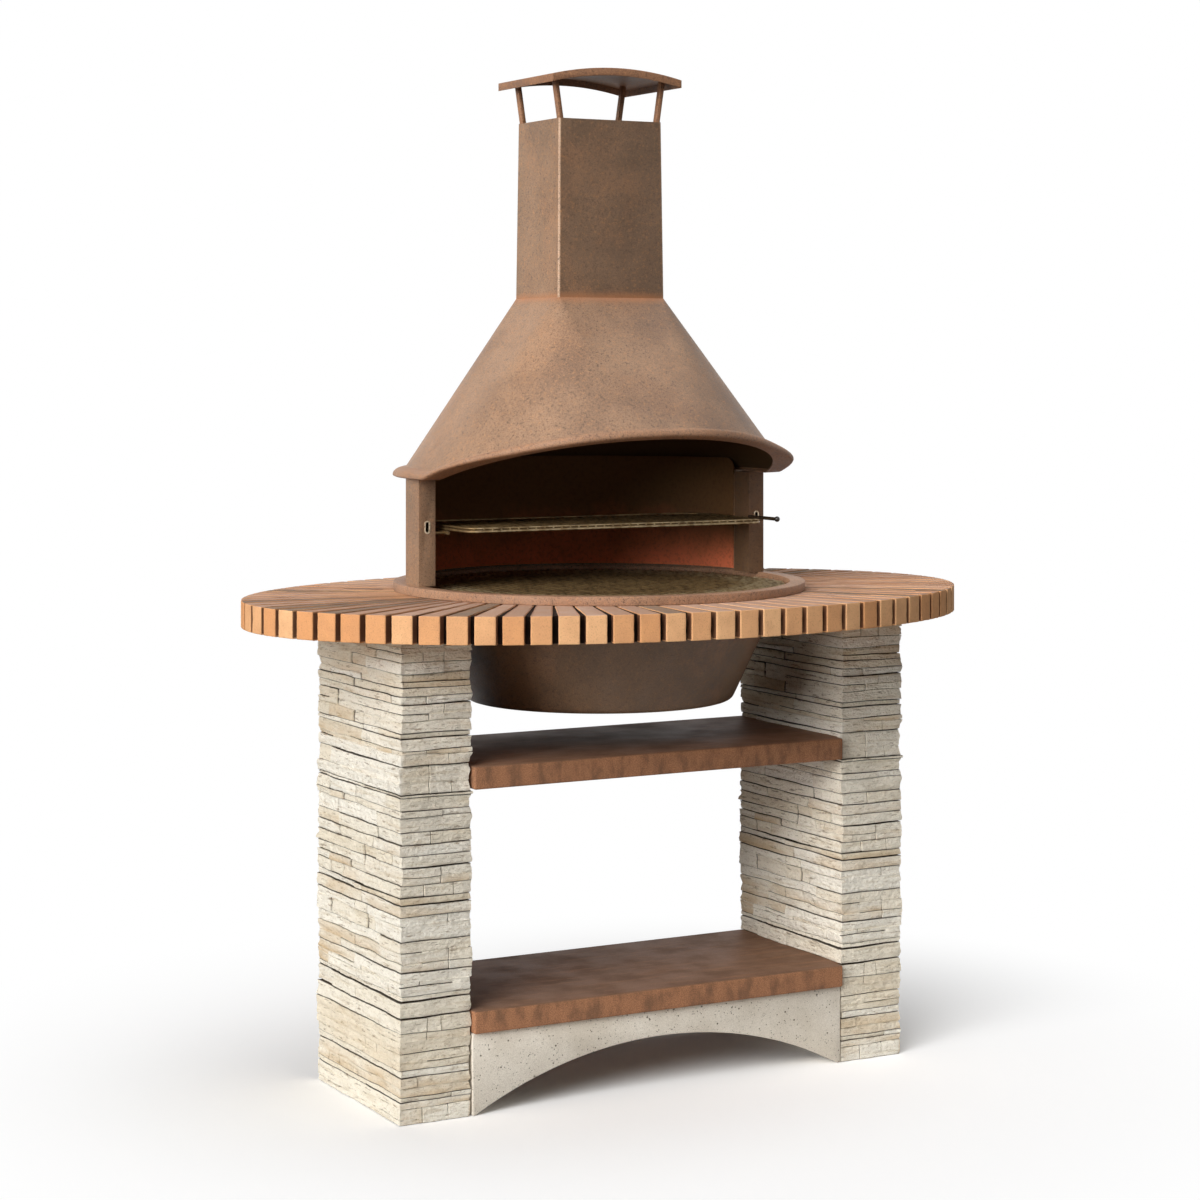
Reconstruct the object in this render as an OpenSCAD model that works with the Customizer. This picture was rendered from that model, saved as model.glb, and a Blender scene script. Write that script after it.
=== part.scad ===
// Outdoor masonry barbecue: two stone-faced pillars, an arched base panel, two shelves,
// an oval worktop of radial bricks, a round steel brazier and a steel hood with chimney.
// Millimetres. Origin on the ground under the middle of the worktop, +Z up, front towards -Y.

/* [Pillars] */
// Width of each pillar, left to right
pillar_w = 146; // [100:1:180]
// Depth of each pillar, front to back
pillar_d = 386; // [300:1:440]
// Height of each pillar
pillar_h = 877; // [800:1:960]
// Clear width between the two pillars
bay_w = 804; // [780:1:860]
// How far the pillars' middle lies in front of the worktop's middle
pillar_forward = 21; // [0:1:50]
// Deepest set-back of a stone behind the casting's face
stone_relief = 6; // [2:0.5:10]
// Height of the raked joint between two stone courses
course_joint = 2.5; // [1:0.5:4]

/* [Base arch] */
// Thickness of the arched panel
arch_t = 60; // [40:1:90]
// Rise of the arch above the ground
arch_rise = 100; // [60:1:120]
// Width of each foot of the arched panel on the ground
arch_foot = 6; // [3:1:30]
// Set-back of the panel's face behind the pillar faces
arch_setback = 3; // [0:1:20]
// Depth of the panel's tenons in the pillars
arch_tenon = 12; // [6:1:20]

/* [Shelves] */
// Thickness of the shelves
shelf_t = 42; // [30:1:60]
// Height of the lower shelf's top
lower_shelf_z = 192; // [180:1:260]
// How far the middle shelf's top lies below the pillars' tops
middle_shelf_drop = 240; // [210:1:380]
// How far a shelf's front stands out before the pillars
shelf_nose = 7; // [2:1:30]
// Depth of the housings that hold the shelf ends
shelf_let_in = 15; // [8:1:25]

/* [Worktop] */
// Length of the oval worktop, left to right
worktop_w = 1486; // [1400:1:1600]
// Depth of the oval worktop, front to back
worktop_d = 1010; // [990:1:1120]
// Height of the bricks
brick_h = 51; // [40:1:65]
// Number of bricks round the worktop
brick_count = 80; // [64:8:88]
// Open joint between two bricks at the outer edge
edge_joint = 11; // [6:0.5:14]
// Joint between two bricks at the brazier
inner_joint = 4; // [2:0.5:6]
// How far the mortar lies below the brick tops
mortar_drop = 2; // [1:0.5:6]
// How far the mortar is raked back from the outer edge
mortar_rake = 22; // [12:1:40]

/* [Brazier] */
// Distance of the brazier's middle behind the worktop's middle
brazier_back = 41; // [26:1:50]
// How far the steel ring stands out beyond the hood's mouth
ring_margin = 18; // [16:1:26]
// Width of the steel ring
ring_w = 30; // [26:1:40]
// Height of the steel ring above the bricks
ring_h = 17; // [12:1:30]
// Thickness of the bowl's flange
flange_t = 3; // [2:0.5:5]
// Width of the ledge that carries the lower grill
ledge_w = 13; // [11:1:20]
// Depth of the bowl below the brick tops
bowl_depth = 216; // [180:1:240]
// Radius of the bowl's base
bowl_base_r = 261; // [220:1:290]
// Thickness of the bowl's steel
bowl_wall = 3; // [2:0.5:5]
// Outside rounding of the bowl's base
bowl_round = 18; // [10:1:30]
// Height of the charcoal grate above the bowl's base
grate_up = 46; // [30:1:80]
// Thickness of the charcoal grate
grate_t = 8; // [5:0.5:12]
// Pitch of the charcoal grate's bars
grate_pitch = 24; // [18:1:34]
// Width of a bar of the charcoal grate
grate_bar = 9; // [6:0.5:12]

/* [Firebox] */
// Radius of the hood's mouth, which the posts stand under
fire_r = 387; // [370:1:395]
// Distance of the hood's mouth and the firebox wall behind the worktop's middle
fire_back = 56; // [48:1:62]
// How far the firebox wall lies inside the hood's mouth
wall_inset = 13; // [12:0.5:15]
// Thickness of the firebox wall
fire_wall = 3; // [2:0.5:4]
// Height of the firebox posts and wall above the ring
fire_h = 204; // [185:1:240]
// Width of a firebox post, left to right
post_w = 35; // [30:1:45]
// Depth of a firebox post, front to back
post_d = 56; // [40:1:70]
// Distance of the posts' front faces behind the worktop's middle
post_back = 50; // [42:1:56]
// Wall thickness of the box-section posts
post_wall = 2.5; // [2:0.5:4]
// Height of the rimmed slots above the ring
slot_up = 113; // [95:1:120]
// Width of the slot inside its rim
slot_w = 7; // [6:0.5:10]
// Height of the slot inside its rim
slot_h = 20; // [14:1:26]
// Width of the slot's rim
slot_rim = 2.5; // [1.5:0.5:3]
// Gap between the firebox wall and the heat shield
shield_gap = 11; // [9:1:14]
// Thickness of the heat shield
shield_t = 2; // [1.5:0.5:3]
// Height of the heat shield
shield_h = 226; // [150:1:226]
// Rounding of the heat shield's upper corners
shield_round = 22; // [8:1:40]

/* [Grills] */
// Diameter of the grills' frame wires
frame_wire = 5; // [4:0.5:8]
// Diameter of the grills' thin wires
thin_wire = 3.5; // [3:0.5:5]
// Pitch of the thin wires
wire_pitch = 18.6; // [15:0.1:26]
// Number of cross wires under the thin wires of the lower grill
lower_cross_wires = 5; // [3:1:9]
// Number of cross wires under the thin wires of the upper grill
upper_cross_wires = 3; // [1:1:5]
// Height of the upper grill's frame above the ring
upper_grill_up = 108; // [90:1:115]
// Gap between the upper grill's side wires and the posts
upper_side_gap = 24.5; // [18:0.5:34]
// Depth of the upper grill, front to back
upper_grill_d = 276; // [250:1:285]
// How far the upper grill stands out before the posts
upper_grill_out = 100; // [90:1:130]
// Corner radius at the front of the upper grill
upper_front_round = 24; // [14:1:40]
// Corner radius at the back of the upper grill
upper_back_round = 60; // [56:1:90]
// Length of the handle rod before the upper grill
handle_l = 87; // [40:1:110]
// Diameter of the handle rod
handle_d = 7; // [5:0.5:8]
// Diameter of the handle's ball knob
knob_d = 11; // [10:0.5:18]
// Diameter of the rails that carry the upper grill
rail_d = 8; // [6:0.5:10]

/* [Hood and chimney] */
// Height of the hood
hood_h = 350; // [300:1:420]
// Thickness of the hood's steel
hood_wall = 2.5; // [2:0.5:4]
// Rise of the hood's mouth, in mm for each 100 mm forward
mouth_rise = 32.5; // [15:0.5:36]
// Distance behind the worktop's middle at which the mouth starts to rise
mouth_back = 6; // [0:0.5:12]
// How far the hood's lip stands out at the sides and back
lip_out = 13; // [6:0.5:20]
// How much further the lip flares out at the two front corners
lip_flare = 19; // [0:1:24]
// How far the lip's flat underside reaches in below the hood
lip_in = 17; // [16:0.5:24]
// Height of the hood's rolled lip
lip_h = 19; // [12:1:24]
// Height of the lip's sharp edge above its underside
lip_edge = 4; // [2:0.5:6]
// Thickness of the lip's underside
lip_t = 3; // [2:0.5:5]
// Distance of the chimney's middle behind the worktop's middle
chimney_back = 81; // [56:1:96]
// Width of the chimney at its foot
chimney_w = 237; // [200:1:280]
// Depth of the chimney at its foot
chimney_d = 183; // [140:1:220]
// How much narrower the chimney is at its top, each way
chimney_draw = 8; // [0:1:20]
// Height of the chimney
chimney_h = 348; // [260:1:420]
// Thickness of the chimney's steel
chimney_wall = 2; // [1.5:0.5:3]

/* [Cap] */
// Width of the cap
cap_w = 288; // [276:1:320]
// Depth of the cap
cap_d = 232; // [190:1:260]
// Rise of the cap's arch
cap_rise = 17; // [8:1:40]
// Height of the cap's turned-down edge
cap_edge = 15; // [8:1:20]
// Thickness of the cap's steel
cap_t = 2; // [1.5:0.5:3]
// Open height between the chimney and the cap's edge
cap_gap = 67; // [40:1:90]
// Width of a cap leg, left to right
leg_w = 9; // [6:1:12]
// Depth of a cap leg, front to back
leg_d = 13; // [8:1:18]
// How far a cap leg leans out over the open height
leg_lean = 10; // [0:1:12]

/* [Hidden] */
$fn = 96;

// Running and seating clearances
seat = 0.3;
slip = 0.4;
hole_play = 0.8;
weld_gap = 0.1;
thin = 0.01;

// Heights from the ground up
worktop_z = pillar_h + brick_h;
ring_z = worktop_z + flange_t;
fire_z = worktop_z + ring_h;
hood_z = fire_z + fire_h;
chimney_z = hood_z + hood_h;
chimney_top = chimney_z + chimney_h;
cap_z = chimney_top + cap_gap;

// Height of the middle shelf's top
middle_shelf_z = pillar_h - middle_shelf_drop;

// Pillar faces
bay_x = bay_w / 2;
pillar_x = bay_x + pillar_w / 2;
pillar_front = -pillar_forward - pillar_d / 2;
pillar_rear = -pillar_forward + pillar_d / 2;

// Radii of the brazier and of what it carries
ring_r = fire_r + ring_margin;
ring_in = ring_r - ring_w;
bowl_r = ring_in - ledge_w;
hole_r = bowl_r + 4;
brick_in = hole_r + 20;
grill_r = bowl_r + frame_wire;
bowl_z = worktop_z - bowl_depth;

// Firebox wall and posts
wall_r = fire_r - wall_inset;
shield_out = wall_r - fire_wall - shield_gap;
post_x = fire_r + 0.5 - post_w / 2;
post_in = post_x - post_w / 2;
post_rear = post_back + post_d;
slot_z = fire_z + slot_up;

// Upper grill and its rails
upper_z = fire_z + upper_grill_up;
upper_x = post_in - upper_side_gap - frame_wire / 2;
upper_front = post_back - upper_grill_out;
upper_rear = upper_front + upper_grill_d;
rail_z = upper_z - frame_wire / 2 - seat - rail_d / 2;

// Heights of the stone courses, bottom to top, repeated as often as the pillar needs
courses = [41, 9, 35, 13, 66, 28, 31, 8, 43, 55, 45, 22, 12, 22, 33, 20, 20, 22, 27, 12, 24, 5, 52, 50, 9, 52, 14, 16, 25, 66];

// Share of the way along the long axis at which a joint crosses it, and the first joint's place on the edge
joint_aim = 0.3;
first_joint = -15;
oval_steps = 360;
sector_count = 8;

// Repeatable scatter between 0 and 1
function scatter(a, b, c) = let (v = sin(a * 127.1 + b * 311.7 + c * 74.7) * 437.585) v - floor(v);

function total(v, n) = n <= 0 ? 0 : v[(n - 1) % len(v)] + total(v, n - 1);

// A bar of eight flats between two points that lie along X or Y
module wire_x(x0, x1, y, z, d) {
  translate([x0, y, z]) rotate([0, 90, 0]) rotate(22.5) cylinder(h = x1 - x0, d = d, $fn = 8);
}

module wire_y(y0, y1, x, z, d) {
  translate([x, y0, z]) rotate([-90, 0, 0]) rotate(22.5) cylinder(h = y1 - y0, d = d, $fn = 8);
}

// Part of a bent wire, turned about the vertical
module wire_bend(r, a0, a1, d) {
  rotate(a0) rotate_extrude(angle = a1 - a0) translate([r, 0]) rotate(22.5) circle(d = d, $fn = 8);
}

// Outline of one stone course: stones of the four faces set back by different amounts
function stones(face) = face % 2 == 0 ? 2 : 3;
function setback(i, face, j) = stone_relief * scatter(i, face % 4, j);
function face_l(face) = face % 2 == 0 ? pillar_w : pillar_d;
function stone_start(i, face, j) =
  j == 0 ? setback(i, face + 3, stones(face + 3) - 1)
  : j == stones(face) ? face_l(face) - setback(i, face + 1, 0)
  : face_l(face) * (j + 0.6 * scatter(i + 7, face, j) - 0.3) / stones(face);
function on_face(face, along, depth) =
  face == 0 ? [along - pillar_w / 2, depth - pillar_d / 2]
  : face == 1 ? [pillar_w / 2 - depth, along - pillar_d / 2]
  : face == 2 ? [pillar_w / 2 - along, pillar_d / 2 - depth]
  : [depth - pillar_w / 2, pillar_d / 2 - along];
function course_outline(i) = [
  for (face = [0:3], j = [0:stones(face) - 1], e = [0, 1])
    if (e == 0 || j < stones(face) - 1)
      on_face(face, stone_start(i, face, j + e), setback(i, face, j))
];

// One cast pillar, faced like a dry-stone wall, standing on the origin
module pillar_casting() {
  core = 2 * (stone_relief + 2);
  n = len([for (k = [0:119]) if (total(courses, k) < pillar_h) k]);
  translate([0, 0, pillar_h / 2]) cube([pillar_w - core, pillar_d - core, pillar_h], center = true);
  for (i = [0:n - 1]) {
    z0 = total(courses, i);
    z1 = min(total(courses, i + 1), pillar_h);
    h = z1 - z0 - (z1 < pillar_h ? course_joint : 0);
    if (h > 1) translate([0, 0, z0]) linear_extrude(h) polygon(course_outline(i));
  }
}

// Room for a shelf's end, open at the back of the pillar
module shelf_housing(top) {
  y0 = pillar_front + 17;
  translate([-bay_x - shelf_let_in, y0, top - shelf_t])
    cube([bay_w + 2 * shelf_let_in, pillar_rear - y0 + 1, shelf_t + 1]);
}

module pillar(side) {
  color("antiquewhite") difference() {
    translate([side * pillar_x, -pillar_forward, 0]) pillar_casting();
    shelf_housing(lower_shelf_z);
    shelf_housing(middle_shelf_z);
    translate([-bay_x - arch_tenon, pillar_front + arch_setback + arch_t / 4 - seat, -1])
      cube([bay_w + 2 * arch_tenon, arch_t / 2 + 2 * seat, lower_shelf_z - shelf_t + 1]);
  }
}

module left_pillar() {
  pillar(-1);
}

module right_pillar() {
  pillar(1);
}

// Arched concrete panel under the lower shelf, tenoned into both pillars
module arch_panel() {
  h = lower_shelf_z - shelf_t;
  half = bay_x - slip - arch_foot;
  r = (half * half + arch_rise * arch_rise) / (2 * arch_rise);
  color("lightgray") difference() {
    union() {
      translate([-bay_x + slip, pillar_front + arch_setback, 0]) cube([bay_w - 2 * slip, arch_t, h]);
      translate([-bay_x - arch_tenon + slip, pillar_front + arch_setback + arch_t / 4, 0])
        cube([bay_w + 2 * (arch_tenon - slip), arch_t / 2, h]);
    }
    translate([0, pillar_front - 1, arch_rise - r]) rotate([-90, 0, 0]) cylinder(h = arch_t + 100, r = r, $fn = 180);
  }
}

// Concrete shelf whose ends are housed in the pillars
module shelf(top) {
  y0 = pillar_front + 17 + slip;
  color("saddlebrown") {
    translate([0, 0, top - shelf_t]) linear_extrude(shelf_t) union() {
      translate([-bay_x + slip, pillar_front - shelf_nose]) square([bay_w - 2 * slip, pillar_d + shelf_nose]);
      translate([-bay_x - shelf_let_in + slip, y0]) square([bay_w + 2 * (shelf_let_in - slip), pillar_rear - y0]);
    }
  }
}

module lower_shelf() {
  shelf(lower_shelf_z);
}

module middle_shelf() {
  shelf(middle_shelf_z);
}

// Points of the oval, and its angle at a distance walked along the edge from the front
function oval(t, inset) = [(worktop_w / 2 - inset) * cos(t), (worktop_d / 2 - inset) * sin(t)];
function oval_angle(i) = i * 360 / oval_steps - 90;
walked = [for (i = 0, s = 0; i <= oval_steps; s = s + norm(oval(oval_angle(i + 1), 0) - oval(oval_angle(i), 0)), i = i + 1) [s, oval_angle(i)]];
oval_l = walked[oval_steps][0];
function edge_point(s) = oval(lookup((s + oval_l) % oval_l, walked), 0);

// Angle at which the joint from an edge point meets a circle round the brazier
function meet(p, r) =
  let (m = [joint_aim * p[0], 0], v = p - [0, brazier_back] - m)
  let (a = v * v, b = 2 * (m * v), c = m * m - r * r)
  let (q = m + v * ((-b + sqrt(b * b - 4 * a * c)) / (2 * a)))
  atan2(q[1], q[0]);
function inner_point(s, shift) =
  let (t = meet(edge_point(s), brick_in) + shift / brick_in * 180 / PI)
  [brick_in * cos(t), brazier_back + brick_in * sin(t)];

module brick_outline(k) {
  s0 = first_joint + k * oval_l / brick_count;
  s1 = s0 + oval_l / brick_count;
  polygon([
    inner_point(s0, inner_joint / 2),
    edge_point(s0 + edge_joint / 2),
    edge_point(s1 - edge_joint / 2),
    inner_point(s1, -inner_joint / 2)
  ]);
}

module brick_sector(sector) {
  per = floor(brick_count / sector_count);
  color("peru") for (k = [sector * per:(sector + 1) * per - 1])
    translate([0, 0, pillar_h]) linear_extrude(brick_h) brick_outline(k);
}

module bricks_front_right() {
  brick_sector(0);
}

module bricks_right_front() {
  brick_sector(1);
}

module bricks_right_back() {
  brick_sector(2);
}

module bricks_back_right() {
  brick_sector(3);
}

module bricks_back_left() {
  brick_sector(4);
}

module bricks_left_back() {
  brick_sector(5);
}

module bricks_left_front() {
  brick_sector(6);
}

module bricks_front_left() {
  brick_sector(7);
}

// Cast mortar that holds the bricks and closes their joints up to the raked edge
module worktop_core() {
  color("tan") translate([0, 0, pillar_h]) linear_extrude(brick_h - mortar_drop) difference() {
    polygon([for (i = [0:119]) oval(i * 3, mortar_rake)]);
    translate([0, brazier_back]) circle(hole_r);
    for (k = [0:brick_count - 1]) brick_outline(k);
  }
}

// Half section of the bowl: sloping wall, rounded base and a flange that lies on the bricks
bowl_lean = atan((bowl_r - bowl_base_r) / bowl_depth);
bowl_arc_r = bowl_base_r - bowl_round * (1 - sin(bowl_lean)) / cos(bowl_lean);
function bowl_arc(r) = [
  for (i = [0:6]) let (a = -90 + i * (90 - bowl_lean) / 6)
    [bowl_arc_r + r * cos(a), bowl_z + bowl_round + r * sin(a)]
];
function bowl_inside(z) = bowl_r + (z - worktop_z) * tan(bowl_lean) - bowl_wall / cos(bowl_lean);
function flipped(v) = [for (i = [len(v) - 1:-1:0]) v[i]];

grate_z = bowl_z + grate_up;
lug_h = 5;

module brazier_bowl() {
  color("sienna") translate([0, brazier_back, 0]) union() {
    rotate_extrude() polygon(concat(
      [[0, bowl_z]],
      bowl_arc(bowl_round),
      [[bowl_r, worktop_z], [ring_r - 5 - slip, worktop_z], [ring_r - 5 - slip, ring_z], [bowl_inside(ring_z), ring_z]],
      flipped(bowl_arc(bowl_round - bowl_wall)),
      [[0, bowl_z + bowl_wall]]
    ));
    for (a = [45:90:315]) rotate(a)
      translate([bowl_inside(grate_z - lug_h) - 14, -8, grate_z - lug_h]) cube([14 + bowl_wall / 2, 16, lug_h]);
  }
}

// Steel ring that covers the flange and carries the firebox
module brazier_ring() {
  color("sienna") translate([0, brazier_back, 0]) rotate_extrude() polygon([
    [ring_in, ring_z],
    [ring_r - 5, ring_z],
    [ring_r - 5, worktop_z + seat],
    [ring_r, worktop_z + seat],
    [ring_r, fire_z],
    [ring_in, fire_z]
  ]);
}

// Cast grate that carries the charcoal on four lugs of the bowl
module charcoal_grate() {
  r = bowl_inside(grate_z - lug_h) - 4;
  bars = floor((r - 10) / grate_pitch);
  color("dimgray") translate([0, brazier_back, grate_z + seat]) linear_extrude(grate_t) union() {
    difference() {
      circle(r);
      circle(r - 14);
    }
    intersection() {
      circle(r - 5);
      union() {
        for (i = [-bars:bars]) translate([i * grate_pitch - grate_bar / 2, -r]) square([grate_bar, 2 * r]);
        for (y = [-r / 2, r / 2]) translate([-r, y - grate_bar / 2]) square([2 * r, grate_bar]);
      }
    }
  }
}

// Lower grill: round before the posts, flat between them, and drawn in behind them to lift past the shield
lower_rim = grill_r - frame_wire / 2;
lower_flat = post_in - 3.5 - frame_wire / 2;
lower_rear_y = fire_back - brazier_back;
lower_rear = shield_out - shield_t - 3 - frame_wire / 2;
lower_z = ring_z + seat + frame_wire / 2;
weld = 0.95;
wire_lift = (frame_wire + thin_wire) / 2 - weld;
function chord(r, x) = sqrt(r * r - x * x);

module lower_grill() {
  flat_y = chord(lower_rear, lower_flat);
  flat_a = atan2(flat_y, lower_flat);
  wires = floor((lower_flat - thin_wire) / wire_pitch);
  gap = 2 * lower_rim / (lower_cross_wires + 1);
  shoulder = (lower_rim + lower_flat) / 2;
  shoulder_l = lower_rim - lower_flat + frame_wire;
  color("darkgoldenrod") translate([0, brazier_back, lower_z]) union() {
    wire_bend(lower_rim, 180, 360, frame_wire);
    translate([0, lower_rear_y, 0]) wire_bend(lower_rear, flat_a, 180 - flat_a, frame_wire);
    for (s = [-1, 1]) {
      wire_x(s * shoulder - shoulder_l / 2, s * shoulder + shoulder_l / 2, 0, 0, frame_wire - 0.4);
      wire_y(0, lower_rear_y + flat_y + 1.5, s * lower_flat, 0, frame_wire - 0.2);
    }
    for (i = [-wires:wires])
      let (x = i * wire_pitch)
        wire_y(-chord(lower_rim, x) - 1, lower_rear_y + chord(lower_rear, x) + 1, x, wire_lift, thin_wire);
    for (k = [1:lower_cross_wires])
      let (y = k * gap - lower_rim - (abs(k * gap - lower_rim) < 10 ? 8 : 0))
      let (x = y < 0 ? chord(lower_rim, y) : min(lower_flat, chord(lower_rear, y - lower_rear_y)))
        wire_x(-x, x, y, 0, frame_wire - 0.8);
  }
}

// Rimmed slot in a post's front face
module slot_outline(grow) {
  w = slot_w + 2 * grow;
  h = slot_h - slot_w;
  union() {
    square([w, h], center = true);
    for (y = [-h / 2, h / 2]) translate([0, y]) circle(d = w);
  }
}

module slot_place(side) {
  translate([side * post_x, post_back, slot_z]) rotate([90, 0, 0]) children();
}

// Heights of the bolts that join the wall to the posts
bolt_z = [fire_z + 30, fire_z + fire_h / 2, fire_z + fire_h - 30];
bolt_x = post_x + post_w / 2 - 8;
bolt_d = 6;

module post(side) {
  color("sienna") difference() {
    translate([side * post_x - post_w / 2, post_back, fire_z]) cube([post_w, post_d, fire_h]);
    translate([side * post_x - post_w / 2 + post_wall, post_back + post_wall, fire_z - 1])
      cube([post_w - 2 * post_wall, post_d - 2 * post_wall, fire_h + 2]);
    slot_place(side) translate([0, 0, -post_wall - 1]) linear_extrude(post_wall + 2) slot_outline(slot_rim / 2 + 0.2);
    for (z = bolt_z) translate([side * bolt_x, post_rear - post_wall - 1, z])
      rotate([-90, 0, 0]) cylinder(h = post_wall + 2, d = bolt_d + hole_play);
  }
}

module left_post() {
  post(-1);
}

module right_post() {
  post(1);
}

// Pressed steel rim: a collar in the slot and a flat edge on the post's face
module slot_rim_ring(side) {
  color("silver") slot_place(side) difference() {
    union() {
      linear_extrude(1.2) slot_outline(slot_rim);
      translate([0, 0, -post_wall]) linear_extrude(post_wall + 0.5) slot_outline(slot_rim / 2);
    }
    translate([0, 0, -post_wall - 1]) linear_extrude(post_wall + 4) slot_outline(0);
  }
}

module left_slot_rim() {
  slot_rim_ring(-1);
}

module right_slot_rim() {
  slot_rim_ring(1);
}

// Radial fixings between the firebox wall and the heat shield
shield_z = fire_z + 5;
fix_angles = [42, 90, 138];
fix_heights = [shield_z + 0.15 * shield_h, shield_z + 0.7 * shield_h];
fix_d = 5;
bush_d = 2.4 * fix_d;
screw_head_d = 2 * fix_d;
screw_head_h = 0.6 * fix_d;

module at_fixings() {
  for (a = fix_angles, z = fix_heights) translate([0, fire_back, z]) rotate(a) rotate([0, 90, 0]) children();
}

// Curved steel wall behind the posts, with a folded flange bolted to each post
module firebox_wall() {
  color("sienna") difference() {
    union() {
      intersection() {
        translate([0, fire_back, fire_z]) difference() {
          cylinder(h = fire_h, r = wall_r, $fn = 180);
          translate([0, 0, -1]) cylinder(h = fire_h + 2, r = wall_r - fire_wall, $fn = 180);
        }
        translate([-fire_r, post_rear, fire_z]) cube([2 * fire_r, fire_r + fire_back, fire_h]);
      }
      for (s = [-1, 1]) translate([s * post_x - post_w / 2, post_rear, fire_z + 4])
        cube([post_w, fire_wall, fire_h - 8]);
    }
    for (s = [-1, 1], z = bolt_z) translate([s * bolt_x, post_rear - 1, z])
      rotate([-90, 0, 0]) cylinder(h = fire_wall + 2, d = bolt_d + hole_play);
    at_fixings() cylinder(h = fire_r, d = fix_d + hole_play);
  }
}

module wall_bolts() {
  color("gray") for (s = [-1, 1], z = bolt_z) translate([s * bolt_x, post_rear + fire_wall, z]) rotate([-90, 0, 0]) union() {
    cylinder(h = 4, d = 10, $fn = 6);
    translate([0, 0, -fire_wall - post_wall - 8]) cylinder(h = fire_wall + post_wall + 8.5, d = bolt_d);
  }
}

// Thin curved sheet that keeps the heat off the wall, its upper corners rounded
module heat_shield() {
  y0 = post_rear + 6;
  color("maroon") intersection() {
    translate([0, fire_back, shield_z]) difference() {
      cylinder(h = shield_h, r = shield_out, $fn = 180);
      translate([0, 0, -1]) cylinder(h = shield_h + 2, r = shield_out - shield_t, $fn = 180);
    }
    translate([-fire_r, 0, 0]) rotate([90, 0, 90]) linear_extrude(2 * fire_r) union() {
      translate([y0, shield_z]) square([fire_r + fire_back, shield_h - shield_round]);
      translate([y0 + shield_round, shield_z]) square([fire_r + fire_back, shield_h]);
      translate([y0 + shield_round, shield_z + shield_h - shield_round]) circle(shield_round);
    }
  }
}

// Threaded bushes on the shield's back, their ends a little clear of the curves
module shield_spacers() {
  color("gray") at_fixings() difference() {
    translate([0, 0, shield_out + seat]) cylinder(h = shield_gap - 2 * seat, d = bush_d);
    translate([0, 0, shield_out - 1]) cylinder(h = shield_gap + 2, d = fix_d + hole_play);
  }
}

// Screws driven through the wall from outside into the bushes
module shield_screws() {
  color("gray") at_fixings() union() {
    translate([0, 0, wall_r + seat]) cylinder(h = screw_head_h, d = screw_head_d);
    translate([0, 0, shield_out + 2]) cylinder(h = wall_r - shield_out - 1, d = fix_d);
  }
}

// Rail of the upper grill: a rod along the firebox and a stay to the post
module grill_rail(side) {
  x = side * upper_x;
  reach = shield_out - shield_t - seat;
  rear = fire_back + sqrt(reach * reach - pow(upper_x + rail_d / 2, 2)) - 1;
  color("darkgoldenrod") union() {
    wire_y(post_back, rear, x, rail_z, rail_d);
    for (y = [post_back + 14, post_rear - 14])
      wire_x(side > 0 ? x : -post_in, side > 0 ? post_in : x, y, rail_z, rail_d - 1);
  }
}

module left_grill_rail() {
  grill_rail(-1);
}

module right_grill_rail() {
  grill_rail(1);
}

// One closed, bent wire of the upper grill's frame
upper_y0 = upper_front + frame_wire / 2;
upper_y1 = upper_rear - frame_wire / 2;

module upper_frame(d) {
  rf = upper_front_round;
  rb = upper_back_round;
  bend_d = d + 0.12;
  wire_x(-upper_x + rf - 0.8, upper_x - rf + 0.8, upper_y0, 0, d);
  wire_x(-upper_x + rb - 0.8, upper_x - rb + 0.8, upper_y1, 0, d);
  for (s = [-1, 1]) wire_y(upper_y0 + rf - 0.8, upper_y1 - rb + 0.8, s * upper_x, 0, d);
  translate([upper_x - rf, upper_y0 + rf, 0]) wire_bend(rf, 270, 360, bend_d);
  translate([-upper_x + rf, upper_y0 + rf, 0]) wire_bend(rf, 180, 270, bend_d);
  translate([upper_x - rb, upper_y1 - rb, 0]) wire_bend(rb, 0, 90, bend_d);
  translate([-upper_x + rb, upper_y1 - rb, 0]) wire_bend(rb, 90, 180, bend_d);
}

// Upper grill: thin wires held between a lower and an upper frame wire, over a few cross wires
module upper_grill() {
  rf = upper_front_round;
  rb = upper_back_round;
  wires = floor((upper_x - thin_wire) / wire_pitch);
  step = (upper_y1 - upper_y0) / (upper_cross_wires + 1);
  color("darkgoldenrod") translate([0, 0, upper_z]) union() {
    upper_frame(frame_wire);
    translate([0, 0, wire_lift + thin_wire - weld]) upper_frame(thin_wire);
    for (i = [-wires:wires])
      let (x = i * wire_pitch, xf = max(abs(x) - upper_x + rf, 0), xb = max(abs(x) - upper_x + rb, 0))
        wire_y(upper_y0 + rf - sqrt(rf * rf - xf * xf) - 1, upper_y1 - rb + sqrt(rb * rb - xb * xb) + 1,
          x, wire_lift, thin_wire - 0.2);
    for (k = [1:upper_cross_wires]) wire_x(-upper_x, upper_x, upper_y0 + k * step, 0, frame_wire - 0.8);
  }
}

// Handle at the grill's right corner: a rod welded over the frame, and a ball screwed on it
handle_x = upper_x - upper_front_round;
handle_z = upper_z + wire_lift + 1.5 * thin_wire - weld + handle_d / 2 + seat;
handle_grip = 16;

module handle_rod() {
  color("dimgray") translate([handle_x, upper_front - handle_l, handle_z]) rotate([-90, 0, 0])
    cylinder(h = handle_l + handle_grip, d = handle_d, $fn = 32);
}

module handle_knob() {
  color("black") translate([handle_x, upper_front - handle_l, handle_z]) rotate([90, 0, 0])
    rotate_extrude($fn = 48) difference() {
      intersection() {
        circle(d = knob_d, $fn = 64);
        translate([0, -knob_d / 2]) square(knob_d);
      }
      translate([0, -knob_d]) square([handle_d / 2 + 0.1, knob_d]);
    }
}

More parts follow.
